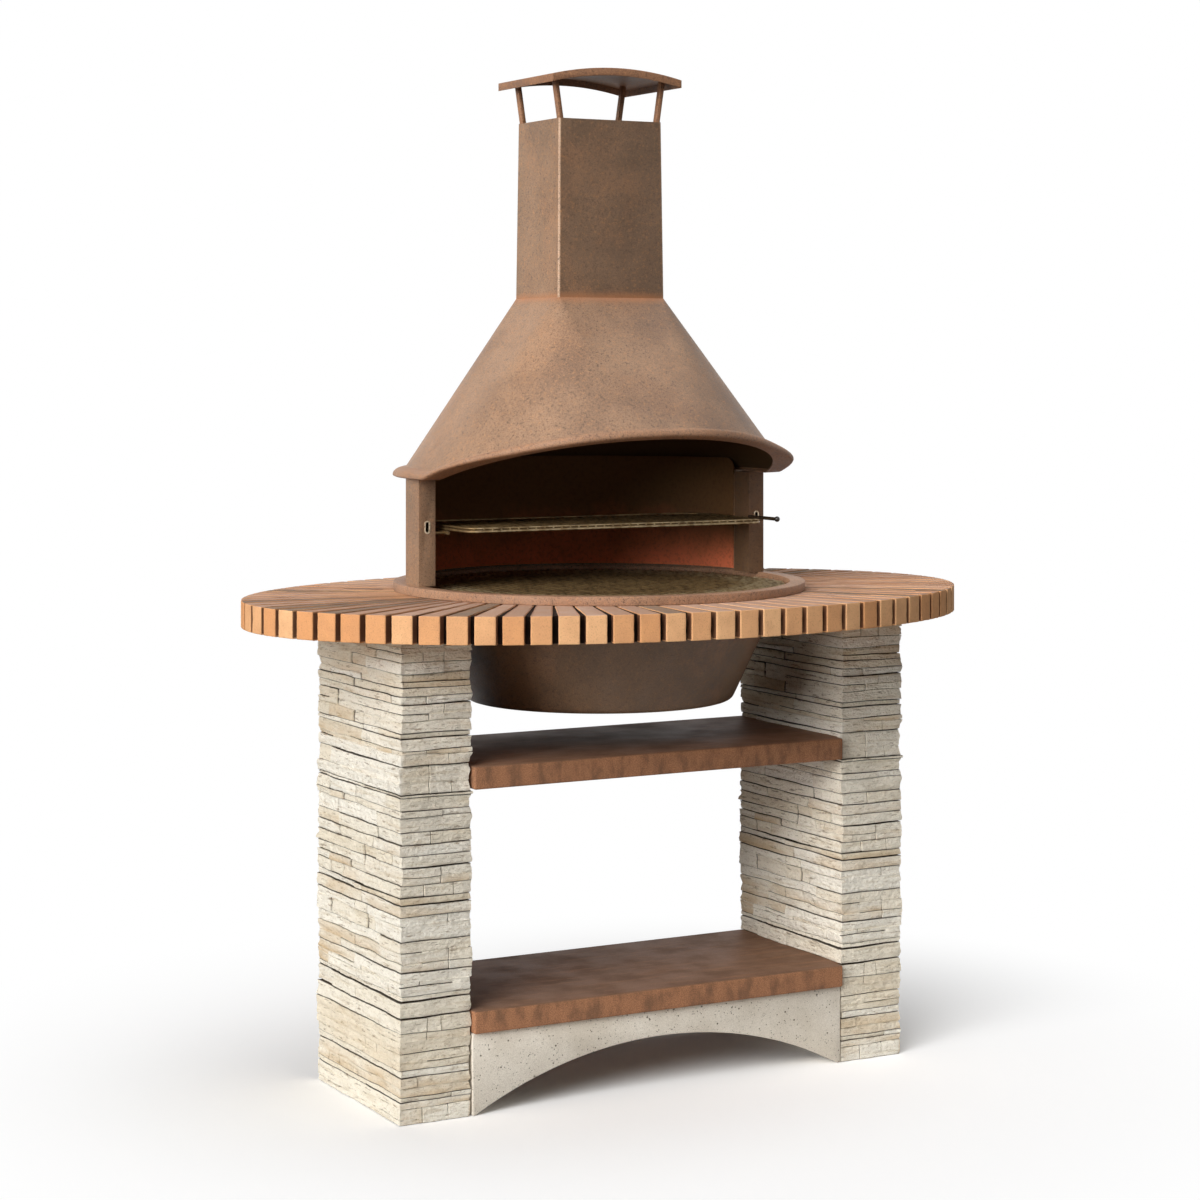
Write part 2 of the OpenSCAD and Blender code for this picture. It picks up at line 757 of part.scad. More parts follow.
// Solid form of the hood: round below, rectangular above, grown sideways by a margin
module hood_form(grow, over) {
  hull() {
    translate([0, fire_back, hood_z - over]) linear_extrude(thin) circle(r = fire_r + grow, $fn = 96);
    translate([0, chimney_back, chimney_z - thin + over]) linear_extrude(thin)
      square([chimney_w + 2 * grow, chimney_d + 2 * grow], center = true);
  }
}

// Shapes drawn in the side view and run across the whole hood
module across() {
  translate([-fire_r - 50, 0, 0]) rotate([90, 0, 90]) linear_extrude(2 * fire_r + 100) children();
}

// Side view of all that lies under the lip's underside, raised by a height
module under_mouth(up) {
  far = 1.5 * fire_r;
  low = hood_z - lip_h;
  across() polygon([
    [mouth_back + far, low],
    [mouth_back + far, lip_z + up],
    [mouth_back, lip_z + up],
    [mouth_back - far, lip_z + mouth_tan * far + up],
    [mouth_back - far, low]
  ]);
}

module hood() {
  color("sienna") difference() {
    hood_form(0, 0);
    hood_form(-hood_wall, 0.05);
    under_mouth(lip_t);
  }
}

// Plan of the lip: round at the back and sides, drawn in at the front to the hood's slope
lip_z = hood_z + seat;
hood_slope = (chimney_back - chimney_d / 2 - fire_back + fire_r) / hood_h;
mouth_tan = mouth_rise / 100;
mouth_front = (fire_back - fire_r + mouth_back * mouth_tan * hood_slope) / (1 + mouth_tan * hood_slope);
lip_steps = 96;
flare_at = 68;
flare_spread = 14;
function from_front(t) = abs((t + 270) % 360 - 180);
function eased(v) = let (c = max(0, min(1, v))) c * c * (3 - 2 * c);
function lip_reach(t) =
  let (g = from_front(t))
  lip_out * eased((g - 40) / 50) + lip_flare * exp(-pow((g - flare_at) / flare_spread, 2));
function lip_height(y) = lip_z + mouth_tan * max(0, mouth_back - y);
function lip_point(t, u, h) =
  let (y = fire_back + ((sin(t) < 0 ? fire_back - mouth_front : fire_r) + u) * sin(t))
  [(fire_r + u) * cos(t), y, lip_height(y) + h];

// Section of the lip at one angle: flat underside, sharp edge, top rolled over to the hood
function lip_section(t) =
  let (out = lip_reach(t))
  concat(
    [lip_point(t, -lip_in, 0), lip_point(t, out - lip_edge - 1, lip_edge / 8)],
    [for (a = [0:18:90]) lip_point(t, out - (out + lip_in) * (1 - cos(a)), lip_edge + (lip_h - lip_edge) * sin(a))],
    [lip_point(t, -lip_in - 2 * lip_t, lip_h)]
  );

module lip_body() {
  n = len(lip_section(0));
  points = [for (i = [0:lip_steps - 1]) each lip_section(i * 360 / lip_steps)];
  function at(i, j) = (i % lip_steps) * n + j % n;
  faces = [for (i = [0:lip_steps - 1], j = [0:n - 1], e = [0, 1])
    e == 0 ? [at(i, j), at(i, j + 1), at(i + 1, j)] : [at(i, j + 1), at(i + 1, j + 1), at(i + 1, j)]];
  polyhedron(points, faces, convexity = 6);
}

// Rolled lip welded under the hood's edge, which climbs over the mouth
module hood_lip() {
  color("sienna") difference() {
    lip_body();
    difference() {
      hood_form(weld_gap, 0.05);
      under_mouth(lip_t);
    }
  }
}

module tapered_box(w, d, h, draw) {
  hull() {
    translate([0, 0, thin / 2]) cube([w, d, thin], center = true);
    translate([0, 0, h - thin / 2]) cube([w - draw, d - draw, thin], center = true);
  }
}

module chimney() {
  color("sienna") translate([0, chimney_back, chimney_z]) difference() {
    tapered_box(chimney_w, chimney_d, chimney_h, chimney_draw);
    translate([0, 0, -0.05])
      tapered_box(chimney_w - 2 * chimney_wall, chimney_d - 2 * chimney_wall, chimney_h + 0.1, chimney_draw);
  }
}

// Sleeve inside the foot of the chimney that keeps it in line with the hood
module flue_spigot() {
  up = 0.1 * chimney_w;
  down = 0.07 * chimney_w;
  inset = max(chimney_wall, hood_wall) + chimney_draw * up / chimney_h / 2 + seat;
  w = chimney_w - 2 * inset;
  d = chimney_d - 2 * inset;
  color("dimgray") translate([0, chimney_back, chimney_z - down]) difference() {
    translate([-w / 2, -d / 2, 0]) cube([w, d, down + up]);
    translate([-w / 2 + chimney_wall, -d / 2 + chimney_wall, -1])
      cube([w - 2 * chimney_wall, d - 2 * chimney_wall, down + up + 2]);
  }
}

// The cap's arch turns about a line that runs front to back below the chimney's top
cap_r = (cap_w * cap_w / 4 + cap_rise * cap_rise) / (2 * cap_rise);
cap_axis_z = cap_z + cap_edge + cap_rise - cap_r;

module cap_barrel(r, l) {
  translate([0, chimney_back + l / 2, cap_axis_z]) rotate([90, 0, 0]) cylinder(h = l, r = r, $fn = 180);
}

module cap() {
  color("sienna") difference() {
    intersection() {
      cap_barrel(cap_r, cap_d);
      translate([-cap_w / 2, chimney_back - cap_d, cap_z - cap_edge]) cube([cap_w, 2 * cap_d, 200]);
    }
    intersection() {
      cap_barrel(cap_r - cap_t, cap_d - 2 * cap_t);
      translate([-cap_w / 2 + cap_t, chimney_back - cap_d, cap_z - 100]) cube([cap_w - 2 * cap_t, 2 * cap_d, 300]);
    }
    cap_barrel(cap_r - cap_edge, cap_d + 2);
  }
}

// Four legs welded inside the chimney's top, leaning out to the cap
module cap_legs() {
  foot = 34;
  reach = cap_gap + cap_edge + cap_rise;
  x0 = (chimney_w - chimney_draw) / 2 - chimney_wall - seat;
  x1 = x0 + leg_lean * reach / cap_gap;
  y0 = (chimney_d - chimney_draw) / 2 - chimney_wall - seat;
  color("sienna") intersection() {
    for (sx = [-1, 1], y = [-y0, y0 - leg_d])
      translate([0, chimney_back + y + leg_d, chimney_top]) rotate([90, 0, 0]) linear_extrude(leg_d)
        polygon([
          [sx * (x0 - leg_w), -foot],
          [sx * x0, -foot],
          [sx * x0, 0],
          [sx * x1, reach],
          [sx * (x1 - leg_w), reach],
          [sx * (x0 - leg_w), 0]
        ]);
    cap_barrel(cap_r - cap_t - seat, cap_d);
  }
}

left_pillar();
right_pillar();
arch_panel();
lower_shelf();
middle_shelf();
worktop_core();
bricks_front_right();
bricks_right_front();
bricks_right_back();
bricks_back_right();
bricks_back_left();
bricks_left_back();
bricks_left_front();
bricks_front_left();
brazier_bowl();
brazier_ring();
charcoal_grate();
lower_grill();
left_post();
right_post();
left_slot_rim();
right_slot_rim();
firebox_wall();
wall_bolts();
heat_shield();
shield_spacers();
shield_screws();
left_grill_rail();
right_grill_rail();
upper_grill();
handle_rod();
handle_knob();
hood();
hood_lip();
flue_spigot();
chimney();
cap_legs();
cap();
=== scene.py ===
import math
import random

import bmesh
import bpy
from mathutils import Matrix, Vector, noise


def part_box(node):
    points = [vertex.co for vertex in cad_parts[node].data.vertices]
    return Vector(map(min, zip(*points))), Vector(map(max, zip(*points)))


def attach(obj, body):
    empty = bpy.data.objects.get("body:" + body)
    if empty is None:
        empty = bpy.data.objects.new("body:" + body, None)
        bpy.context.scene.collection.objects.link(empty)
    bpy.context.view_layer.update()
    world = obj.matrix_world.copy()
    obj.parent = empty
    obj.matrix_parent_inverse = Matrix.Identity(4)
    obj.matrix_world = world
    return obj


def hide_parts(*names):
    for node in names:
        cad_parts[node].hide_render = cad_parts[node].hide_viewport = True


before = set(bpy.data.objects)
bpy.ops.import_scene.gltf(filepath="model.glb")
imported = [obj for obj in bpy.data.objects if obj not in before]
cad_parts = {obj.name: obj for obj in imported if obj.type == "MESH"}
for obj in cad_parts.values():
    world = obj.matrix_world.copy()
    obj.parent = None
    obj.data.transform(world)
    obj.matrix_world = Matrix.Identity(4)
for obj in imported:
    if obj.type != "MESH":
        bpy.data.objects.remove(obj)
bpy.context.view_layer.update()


# Camera: a long lens in front and to the left, held level at shoulder height, its frame
# shifted down to take in the feet of the pillars.
photo_px = 1200
focal_px = 2780.2
horizon_px = 358.34
camera_turn = 28.80
camera_place = (-2.6386, -4.7619, 1.3807)
camera_data = bpy.data.cameras.new("camera")
camera_data.sensor_width = 36
camera_data.lens = camera_data.sensor_width * focal_px / photo_px
camera_data.shift_y = horizon_px / photo_px - 0.5
camera = bpy.data.objects.new("camera", camera_data)
camera.location = camera_place
camera.rotation_euler = (math.radians(90), 0, -math.radians(camera_turn))
bpy.context.scene.collection.objects.link(camera)
bpy.context.scene.camera = camera


# Studio: a low and a higher soft lamp on the left, a weak one overhead and a dim room all round.
# A pale sheet underfoot throws light up at the object, keeps its shadow and runs out to plain
# white. Backdrop and sheet look paler to the eye than they are to the object.
def tone(red, green, blue):
    """A colour read off the photograph, as the shader wants it"""
    def linear(level):
        level = level / 255
        return level / 12.92 if level < 0.04045 else ((level + 0.055) / 1.055) ** 2.4
    return (linear(red), linear(green), linear(blue), 1)


def fed(tree, socket, value):
    """Puts a number, a colour or another node's output on a socket"""
    if isinstance(value, bpy.types.NodeSocket):
        tree.links.new(value, socket)
    else:
        socket.default_value = value


def worked_out(tree, how, first, second=0.0):
    """One step of arithmetic on two values"""
    made = tree.nodes.new("ShaderNodeMath")
    made.operation = how
    fed(tree, made.inputs[0], first)
    fed(tree, made.inputs[1], second)
    return made.outputs[0]


def times(tree, first, second):
    """Two values multiplied"""
    return worked_out(tree, "MULTIPLY", first, second)


def ranged(tree, value, low, high, to_low=0.0, to_high=1.0, eased=True):
    """A value carried over from one range to another, eased at its ends or straight"""
    made = tree.nodes.new("ShaderNodeMapRange")
    made.interpolation_type = "SMOOTHSTEP" if eased else "LINEAR"
    made.inputs["From Min"].default_value = low
    made.inputs["From Max"].default_value = high
    fed(tree, made.inputs["To Min"], to_low)
    fed(tree, made.inputs["To Max"], to_high)
    fed(tree, made.inputs["Value"], value)
    return made.outputs[0]


def length_of(tree, vector):
    """How long a vector is"""
    made = tree.nodes.new("ShaderNodeVectorMath")
    made.operation = "LENGTH"
    tree.links.new(vector, made.inputs[0])
    return made.outputs["Value"]


def seen_directly(tree):
    """1 where the camera sees the surface itself, straight, mirrored or through glass"""
    path = tree.nodes.new("ShaderNodeLightPath")
    seen = worked_out(tree, "MAXIMUM", path.outputs["Is Camera Ray"], path.outputs["Is Glossy Ray"])
    return worked_out(tree, "MAXIMUM", seen, path.outputs["Is Transmission Ray"])


room_level = 0.055
plain_white = (1, 1, 1, 1)
# Each lamp: where it stands, its level, and how many degrees wide it looks.
lamps = {
    "side_lamp": ((-0.91, -0.27, 0.19), 0.60, 28),
    "front_lamp": ((-0.68, -0.49, 0.54), 0.61, 32),
    "top_lamp": ((0.30, -0.10, 0.95), 0.26, 50),
}

bpy.context.scene.view_settings.view_transform = "Standard"
world = bpy.data.worlds.new("room")
bpy.context.scene.world = world
world.use_nodes = True
room = world.node_tree
dim = room.nodes["Background"]
dim.inputs["Color"].default_value = plain_white
dim.inputs["Strength"].default_value = room_level
white = room.nodes.new("ShaderNodeBackground")
white.inputs["Color"].default_value = plain_white
white.inputs["Strength"].default_value = 1
backdrop = room.nodes.new("ShaderNodeMixShader")
room.links.new(seen_directly(room), backdrop.inputs[0])
room.links.new(dim.outputs[0], backdrop.inputs[1])
room.links.new(white.outputs[0], backdrop.inputs[2])
room.links.new(backdrop.outputs[0], room.nodes["World Output"].inputs["Surface"])

for name, (towards, level, spread) in lamps.items():
    lamp_data = bpy.data.lights.new(name, "SUN")
    lamp_data.energy = level * math.pi
    lamp_data.angle = math.radians(spread)
    lamp = bpy.data.objects.new(name, lamp_data)
    lamp.rotation_euler = Vector(towards).to_track_quat("Z", "Y").to_euler()
    bpy.context.scene.collection.objects.link(lamp)

# The sheet gives back near_bounce of its light close by and far_bounce beyond. The eye alone
# sees it as floor_pale, a little lifted, and fading to plain white between the last two radii.
floor_half = 30
floor_drop = 0.0005
near_bounce = 0.88
far_bounce = 0.05
bounce_from = 1.0
bounce_to = 2.4
floor_pale = 1.18
floor_lift = 0.01
fade_from = 0.4
fade_to = 1.5
bm = bmesh.new()
bmesh.ops.create_grid(bm, x_segments=1, y_segments=1, size=floor_half)
bmesh.ops.translate(bm, verts=bm.verts, vec=(0, 0, -floor_drop))
floor_mesh = bpy.data.meshes.new("floor")
bm.to_mesh(floor_mesh)
bm.free()
floor = bpy.data.objects.new("floor", floor_mesh)
bpy.context.scene.collection.objects.link(floor)
paper = bpy.data.materials.new("paper_sheet")
paper.use_nodes = True
tree = paper.node_tree
tree.nodes.remove(tree.nodes["Principled BSDF"])
seen = seen_directly(tree)
place = tree.nodes.new("ShaderNodeTexCoord")
away = length_of(tree, place.outputs["Object"])
bounce = ranged(tree, away, bounce_from, bounce_to, near_bounce, far_bounce, eased=False)
sheet = tree.nodes.new("ShaderNodeBsdfDiffuse")
tree.links.new(ranged(tree, seen, 0, 1, bounce, floor_pale, eased=False), sheet.inputs["Color"])
lift = tree.nodes.new("ShaderNodeEmission")
tree.links.new(times(tree, seen, floor_lift), lift.inputs["Strength"])
near = tree.nodes.new("ShaderNodeAddShader")
tree.links.new(sheet.outputs[0], near.inputs[0])
tree.links.new(lift.outputs[0], near.inputs[1])
far = tree.nodes.new("ShaderNodeEmission")
far.inputs["Strength"].default_value = 1
blend = tree.nodes.new("ShaderNodeMixShader")
tree.links.new(times(tree, ranged(tree, away, fade_from, fade_to), seen), blend.inputs[0])
tree.links.new(near.outputs[0], blend.inputs[1])
tree.links.new(far.outputs[0], blend.inputs[2])
tree.links.new(blend.outputs[0], tree.nodes["Material Output"].inputs["Surface"])
floor_mesh.materials.append(paper)


# Pillars: two castings from one mould, faced like a dry-stone wall. Long thin split stones lie in
# uneven courses, cream, with ochre along some beds and deep joints between them, painted dark as
# shade. They stand on the ground, and the worktop is glued on them.
def new_surface(name, colour, roughness, metallic=0.0, specular=0.5):
    """A material with its plain values on the shader's own sockets"""
    made = bpy.data.materials.new(name)
    made.use_nodes = True
    shader = made.node_tree.nodes["Principled BSDF"]
    shader.inputs["Base Color"].default_value = colour
    shader.inputs["Roughness"].default_value = roughness
    shader.inputs["Metallic"].default_value = metallic
    shader.inputs["Specular IOR Level"].default_value = specular
    return made, made.node_tree, shader


def grain(tree, scale, stretch=(1, 1, 1), detail=4, roughness=0.55, shift=(0, 0, 0)):
    """Noise in the object's own metres: scale is in patches a metre"""
    at = tree.nodes.new("ShaderNodeTexCoord")
    stretched = tree.nodes.new("ShaderNodeMapping")
    stretched.inputs["Scale"].default_value = stretch
    stretched.inputs["Location"].default_value = shift
    tree.links.new(at.outputs["Object"], stretched.inputs["Vector"])
    made = tree.nodes.new("ShaderNodeTexNoise")
    made.inputs["Scale"].default_value = scale
    made.inputs["Detail"].default_value = detail
    made.inputs["Roughness"].default_value = roughness
    tree.links.new(stretched.outputs[0], made.inputs["Vector"])
    return made.outputs["Fac"]


def mixed(tree, share, first, second):
    """The first colour, going over to the second by a share"""
    made = tree.nodes.new("ShaderNodeMix")
    made.data_type = "RGBA"
    fed(tree, made.inputs[0], share)
    fed(tree, made.inputs[6], first)
    fed(tree, made.inputs[7], second)
    return made.outputs[2]


def plus(tree, first, second):
    """Two values added"""
    return worked_out(tree, "ADD", first, second)


def flecked(tree, colour, patches, low, high, share, fleck, hollows=False):
    """A colour with flecks of another where a noise stands high, or in its hollows"""
    where = ranged(tree, patches, low, high, 1, 0) if hollows else ranged(tree, patches, low, high)
    return mixed(tree, times(tree, where, share), colour, fleck)


def raised(tree, shader, height, depth, strength=1.0):
    """Relief from a height of 0 to 1 that is depth metres deep"""
    bump = tree.nodes.new("ShaderNodeBump")
    bump.inputs["Strength"].default_value = strength
    bump.inputs["Distance"].default_value = depth
    tree.links.new(height, bump.inputs["Height"])
    tree.links.new(bump.outputs[0], shader.inputs["Normal"])


def painted(tree, name):
    """The parts of a colour that was painted on the mesh"""
    read = tree.nodes.new("ShaderNodeAttribute")
    read.attribute_name = name
    split = tree.nodes.new("ShaderNodeSeparateColor")
    tree.links.new(read.outputs["Color"], split.inputs[0])
    return split.outputs


def new_piece(name, bm, body, materials, node, sharp=35):
    """A finished mesh as an object that rides on a body and stands for its CAD node"""
    mesh = bpy.data.meshes.new(name)
    for face in bm.faces:
        face.smooth = True
    bm.to_mesh(mesh)
    bm.free()
    mesh.set_sharp_from_angle(angle=math.radians(sharp))
    for each in materials:
        mesh.materials.append(each)
    made = bpy.data.objects.new(name, mesh)
    bpy.context.scene.collection.objects.link(made)
    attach(made, body)
    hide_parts(node)


def split_stone():
    """Cream cast stone: a tone for each stone, ochre along the beds, fine pits, and painted shade in the
    joints
    """
    made, tree, shader = new_surface("split_stone", tone(236, 228, 213), 0.9, specular=0.2)
    stone = painted(tree, "stone")
    fine = grain(tree, 330, detail=4, roughness=0.7)
    grit = grain(tree, 150, (1, 1, 1.6), detail=5, roughness=0.65, shift=(1, 4, 2))
    strata = grain(tree, 9, (1, 1, 14), detail=7, roughness=0.6)
    cloud = grain(tree, 7, (1, 1, 2.2), detail=4, shift=(3, 1, 7))
    chips = grain(tree, 62, (1, 1, 1.7), detail=3, roughness=0.5, shift=(5, 2, 9))
    cracks = grain(tree, 24, (1, 1, 8), detail=7, roughness=0.72, shift=(8, 6, 4))
    colour = mixed(tree, stone["Red"], tone(254, 248, 234), tone(242, 231, 209))
    colour = flecked(tree, colour, strata, 0.50, 0.66, 0.40, tone(208, 190, 158))
    colour = flecked(tree, colour, cracks, 0.57, 0.63, 0.65, tone(128, 102, 70))
    stain = times(tree, stone["Green"], ranged(tree, cloud, 0.30, 0.62))
    colour = mixed(tree, times(tree, stain, 0.85), colour, tone(206, 172, 122))
    colour = flecked(tree, colour, grit, 0.54, 0.68, 0.42, tone(196, 172, 136))
    colour = flecked(tree, colour, fine, 0.30, 0.42, 0.55, tone(120, 100, 76), hollows=True)
    # Painted shade: the joints and the core go dark brown.
    colour = mixed(tree, ranged(tree, stone["Blue"], 0.05, 0.70), colour, tone(48, 34, 22))
    tree.links.new(colour, shader.inputs["Base Color"])
    rough = plus(tree, grit, times(tree, fine, 0.45))
    rough = plus(tree, rough, times(tree, chips, 1.9))
    rough = plus(tree, rough, times(tree, cracks, -0.9))
    raised(tree, shader, rough, 0.0032, 1.0)
    return made


# The mould's courses from the ground up, as heights to be scaled to the pillar.
courses = (41, 9, 35, 13, 66, 28, 31, 8, 43, 55, 45, 22, 12, 22, 33, 20, 20, 22, 27, 12, 24, 5, 52, 50, 9,
           52, 14, 16, 25, 65)
course_gaps = (0.0004, 0.0009, 0.0014, 0.0020)
course_wave = 0.0017
layer_thick = 0.0165
bed_wave = 0.0034
end_pitch = 0.052
open_ends_share = 0.26
bed_change_share = 0.4
joint_in = 0.0072
joint_half = 0.0012
# Painted shade: how far an open joint goes towards dark.
joint_shade = 0.95
edge_band = 0.0013
edge_wear = 0.0013
# Painted shade: how far the top and bottom rows of each course go towards dark.
bed_edge_shade = 0.6
stone_relief = 0.0044
split_depth = 0.0027
sheet_depth = 0.0022
chip_depth = 0.0014
lean_depth = 0.0024
core_in = 0.0085
core_short = 0.004
cell_along = 0.0088
cell_up = 0.0042
# The four faces, going round: the axis and the sense they look in, and the sense they run in.
face_ways = ((1, -1, 1), (0, 1, 1), (1, 1, -1), (0, -1, -1))


def uneven_cuts(length, count, chance):
    """Ends of the parts of a length, each a little off an even cut"""
    return [length * (k + (chance.uniform(-0.3, 0.3) if 0 < k < count else 0)) / count
            for k in range(count + 1)]


def stone_layers(height, chance):
    """Heights of the beds in one course: a thick course is a stack of thin layers"""
    count = max(1, round(height / layer_thick * chance.uniform(0.45, 1.15)))
    return uneven_cuts(height, count, chance)


def course_rows(beds):
    """Rows of the mesh: (height, bed or None, layer), drawn close on both sides of a bed"""
    edge = min(edge_band, beds[-1] / 5)
    rows = [(0.0, 0, 0), (edge, None, 0)]
    for layer, (low, high) in enumerate(zip(beds, beds[1:])):
        start = rows[-1][0]
        last = layer == len(beds) - 2
        stop = high - (edge if last else joint_half)
        count = max(1, round((stop - start) / cell_up))
        rows += [(start + (stop - start) * k / count, None, layer) for k in range(1, count + 1)]
        rows.append((high, layer + 1, layer))
        if not last:
            rows.append((high + joint_half, None, layer + 1))
    return rows


def face_columns(length, chance):
    """Columns of one face: (place, end or None, segment), drawn close on both sides of an end"""
    count = max(2, round(length / end_pitch))
    ends = uneven_cuts(length, count, chance)
    columns = [(0.0, None, 0)]
    for segment, (start, stop) in enumerate(zip(ends, ends[1:])):
        last = segment == count - 1
        low = columns[-1][0]
        high = stop - (0 if last else joint_half)
        cells = max(2, round((high - low) / cell_along))
        columns += [(low + (high - low) * k / cells, None, segment) for k in range(1, cells + 1)]
        if not last:
            columns += [(stop, segment + 1, segment), (stop + joint_half, None, segment + 1)]
    return columns, count


def lay_stones(layers, segments, chance):
    """Which ends and beds of one face are open and how far, and which cells make up one stone"""
    open_ends = [[0] + [chance.uniform(0.5, 1) if chance.random() < open_ends_share else 0
                        for _ in range(segments - 1)] for _ in range(layers)]
    open_beds = []
    for _ in range(layers - 1):
        strength = chance.choice((0, 0.3, 0.5, 1))
        along = []
        for _ in range(segments):
            if chance.random() < bed_change_share:
                strength = chance.choice((0, 0, 0.3, 0.6, 1))
            along.append(strength)
        open_beds.append(along)
    parent = {(j, i): (j, i) for j in range(layers) for i in range(segments)}

    def root(cell):
        while parent[cell] != cell:
            cell = parent[cell]
        return cell

    for j in range(layers):
        for i in range(segments):
            if i and not open_ends[j][i]:
                parent[root((j, i))] = root((j, i - 1))
    for j in range(layers - 1):
        for i in range(segments):
            if not open_beds[j][i]:
                parent[root((j + 1, i))] = root((j, i))
    stones = {}
    for cell in parent:
        first = root(cell)
        if first not in stones:
            stones[first] = {"back": chance.random() ** 1.4 * stone_relief, "shade": chance.random(),
                             "ochre": max(0, chance.uniform(-1.6, 1.0)), "lean": chance.uniform(-1, 1)}
    return open_ends, open_beds, {cell: stones[root(cell)] for cell in parent}


def course_face(length, layers, chance):
    """One face of a course: its columns and its stones"""
    columns, segments = face_columns(length, chance)
    open_ends, open_beds, stones = lay_stones(layers, segments, chance)
    return {"columns": columns, "segments": segments, "open_ends": open_ends,
            "open_beds": open_beds, "stones": stones}


def course_ring(wide, row_count, column_counts):
    """An open upright ring, one high, cut evenly into the rows and columns of its four faces"""
    bm = bmesh.new()
    made = bmesh.ops.create_cube(bm, size=1)["verts"]
    bmesh.ops.scale(bm, verts=made, vec=(*wide, 1))
    caps = [face for face in bm.faces if abs(face.normal.z) > 0.5]
    bmesh.ops.delete(bm, geom=caps, context="FACES_ONLY")
    upright = [e for e in bm.edges if abs(e.verts[0].co.z - e.verts[1].co.z) > 0.5]
    bmesh.ops.subdivide_edges(bm, edges=upright, cuts=row_count - 2, use_grid_fill=True)
    for (axis, sense, _), column_count in zip(face_ways, column_counts):
        level_edges = [e for e in bm.edges if abs(e.verts[0].co.z - e.verts[1].co.z) < 1e-6
                       and all(v.co[axis] * sense > wide[axis] / 2 - 1e-5 for v in e.verts)]
        bmesh.ops.subdivide_edges(bm, edges=level_edges, cuts=column_count - 2, use_grid_fill=True)
    return bm


def split_back(place, stone, share_up):
    """How far back a stone's face lies at a place: it leans, and is split, sheeted and chipped"""
    at = Vector((place.x * 17, place.y * 17, place.z * 46))
    split = noise.noise(at + Vector((0, 0, 9 * stone["back"])))
    sheet = noise.noise(Vector((place.x * 8 + 5, place.y * 8, place.z * 150)))
    chip = noise.noise(place * 130)
    back = stone["back"] + split_depth * (split + 0.42) + sheet_depth * max(0, sheet + 0.1)
    return back + chip_depth * chip + lean_depth * stone["lean"] * (share_up - 0.5)


def wave(spot, level, swing):
    """How far a bed lies off its plain height at a spot of the plan"""
    return swing * noise.noise(Vector((spot.x * 11, spot.y * 11, level * 3.1)))


def bed_heights(spot, beds, layer, tall, level, gap):
    """Heights of the two beds round a layer at a spot: they waver, and the course's joint gapes"""
    bottom = wave(spot, level, course_wave) if level > 0 else 0
    top = wave(spot, level + 1, course_wave) if level < len(courses) - 1 else 0
    opening = gap * max(0.12, 0.75 + 1.1 * noise.noise(Vector((spot.x * 6, spot.y * 6, level + 0.5))))
    heights = []
    for index in (layer, layer + 1):
        share = beds[index] / tall
        height = beds[index] + (bottom + (top - bottom - opening) * share)
        if 0 < index < len(beds) - 1:
            height += wave(spot, level * 7.7 + index, bed_wave)
        heights.append(height)
    return heights


def stone_course(lo, hi, gap, chance, level):
    """One closed ring of split stones between two heights, round a pillar's plan"""
    wide = (hi.x - lo.x, hi.y - lo.y)
    half = (wide[0] / 2, wide[1] / 2)
    tall = hi.z - lo.z
    beds = stone_layers(tall, chance)
    layers = len(beds) - 1
    rows = course_rows(beds)
    faces = [course_face(wide[side % 2], layers, chance) for side in range(4)]
    for face, before in zip(faces, faces[-1:] + faces[:-1]):
        for layer in range(layers):
            neighbour = before["stones"][(layer, before["segments"] - 1)]
            face["stones"][(layer, 0)].update(shade=neighbour["shade"], ochre=neighbour["ochre"])
    bm = course_ring(wide, len(rows), [len(face["columns"]) for face in faces])
    look = bm.verts.layers.float_color.new("stone")
    middle = (lo + hi) / 2
    for vert in bm.verts:
        up, bed, layer = rows[round((vert.co.z + 0.5) * (len(rows) - 1))]
        spot = Vector((vert.co.x, vert.co.y, 0))
        there = []
        for face, (axis, sense, run) in zip(faces, face_ways):
            if vert.co[axis] * sense > half[axis] - 1e-5:
                along = 1 - axis
                share = (vert.co[along] + half[along]) / wide[along]
                columns = face["columns"]
                column = columns[round((share if run > 0 else 1 - share) * (len(columns) - 1))]
                spot[along] = run * (column[0] - half[along])
                there.append((face, axis, sense, column))
        moved = spot.copy()
        place = Vector((spot.x, spot.y, up + lo.z))
        share_up = (up - beds[layer]) / (beds[layer + 1] - beds[layer])
        on_edge = bed in (0, layers)
        # Painted shade: the rims of each course and its open joints are marked to go dark.
        joint = bed_edge_shade if on_edge else 0
        for face, axis, sense, (_, end, segment) in there:
            stone = face["stones"][(layer, segment)]
            back = split_back(place, stone, share_up)
            groove = 0
            if bed is not None and not on_edge:
                groove = face["open_beds"][bed - 1][segment]
                if not groove:
                    back = (back + face["stones"][(bed, segment)]["back"]) / 2
            if end is not None:
                groove = max(groove, face["open_ends"][layer][end])
            if on_edge:
                back += edge_wear * (0.7 + noise.noise(place * 45))
            back += groove * joint_in
            joint = max(joint, joint_shade * groove)
            tint = (stone["shade"], stone["ochre"] * (1 - 0.6 * share_up))
            moved[axis] = sense * (half[axis] - max(0.0, back))
        low, high = bed_heights(spot, beds, layer, tall, level, gap)
        vert[look] = (*tint, joint, 1)
        vert.co = (middle.x + moved.x, middle.y + moved.y, lo.z + (low + (high - low) * share_up))
    rims = [edge for edge in bm.edges if edge.is_boundary]
    bmesh.ops.holes_fill(bm, edges=rims, sides=0)
    bmesh.ops.recalc_face_normals(bm, faces=bm.faces)
    return bm


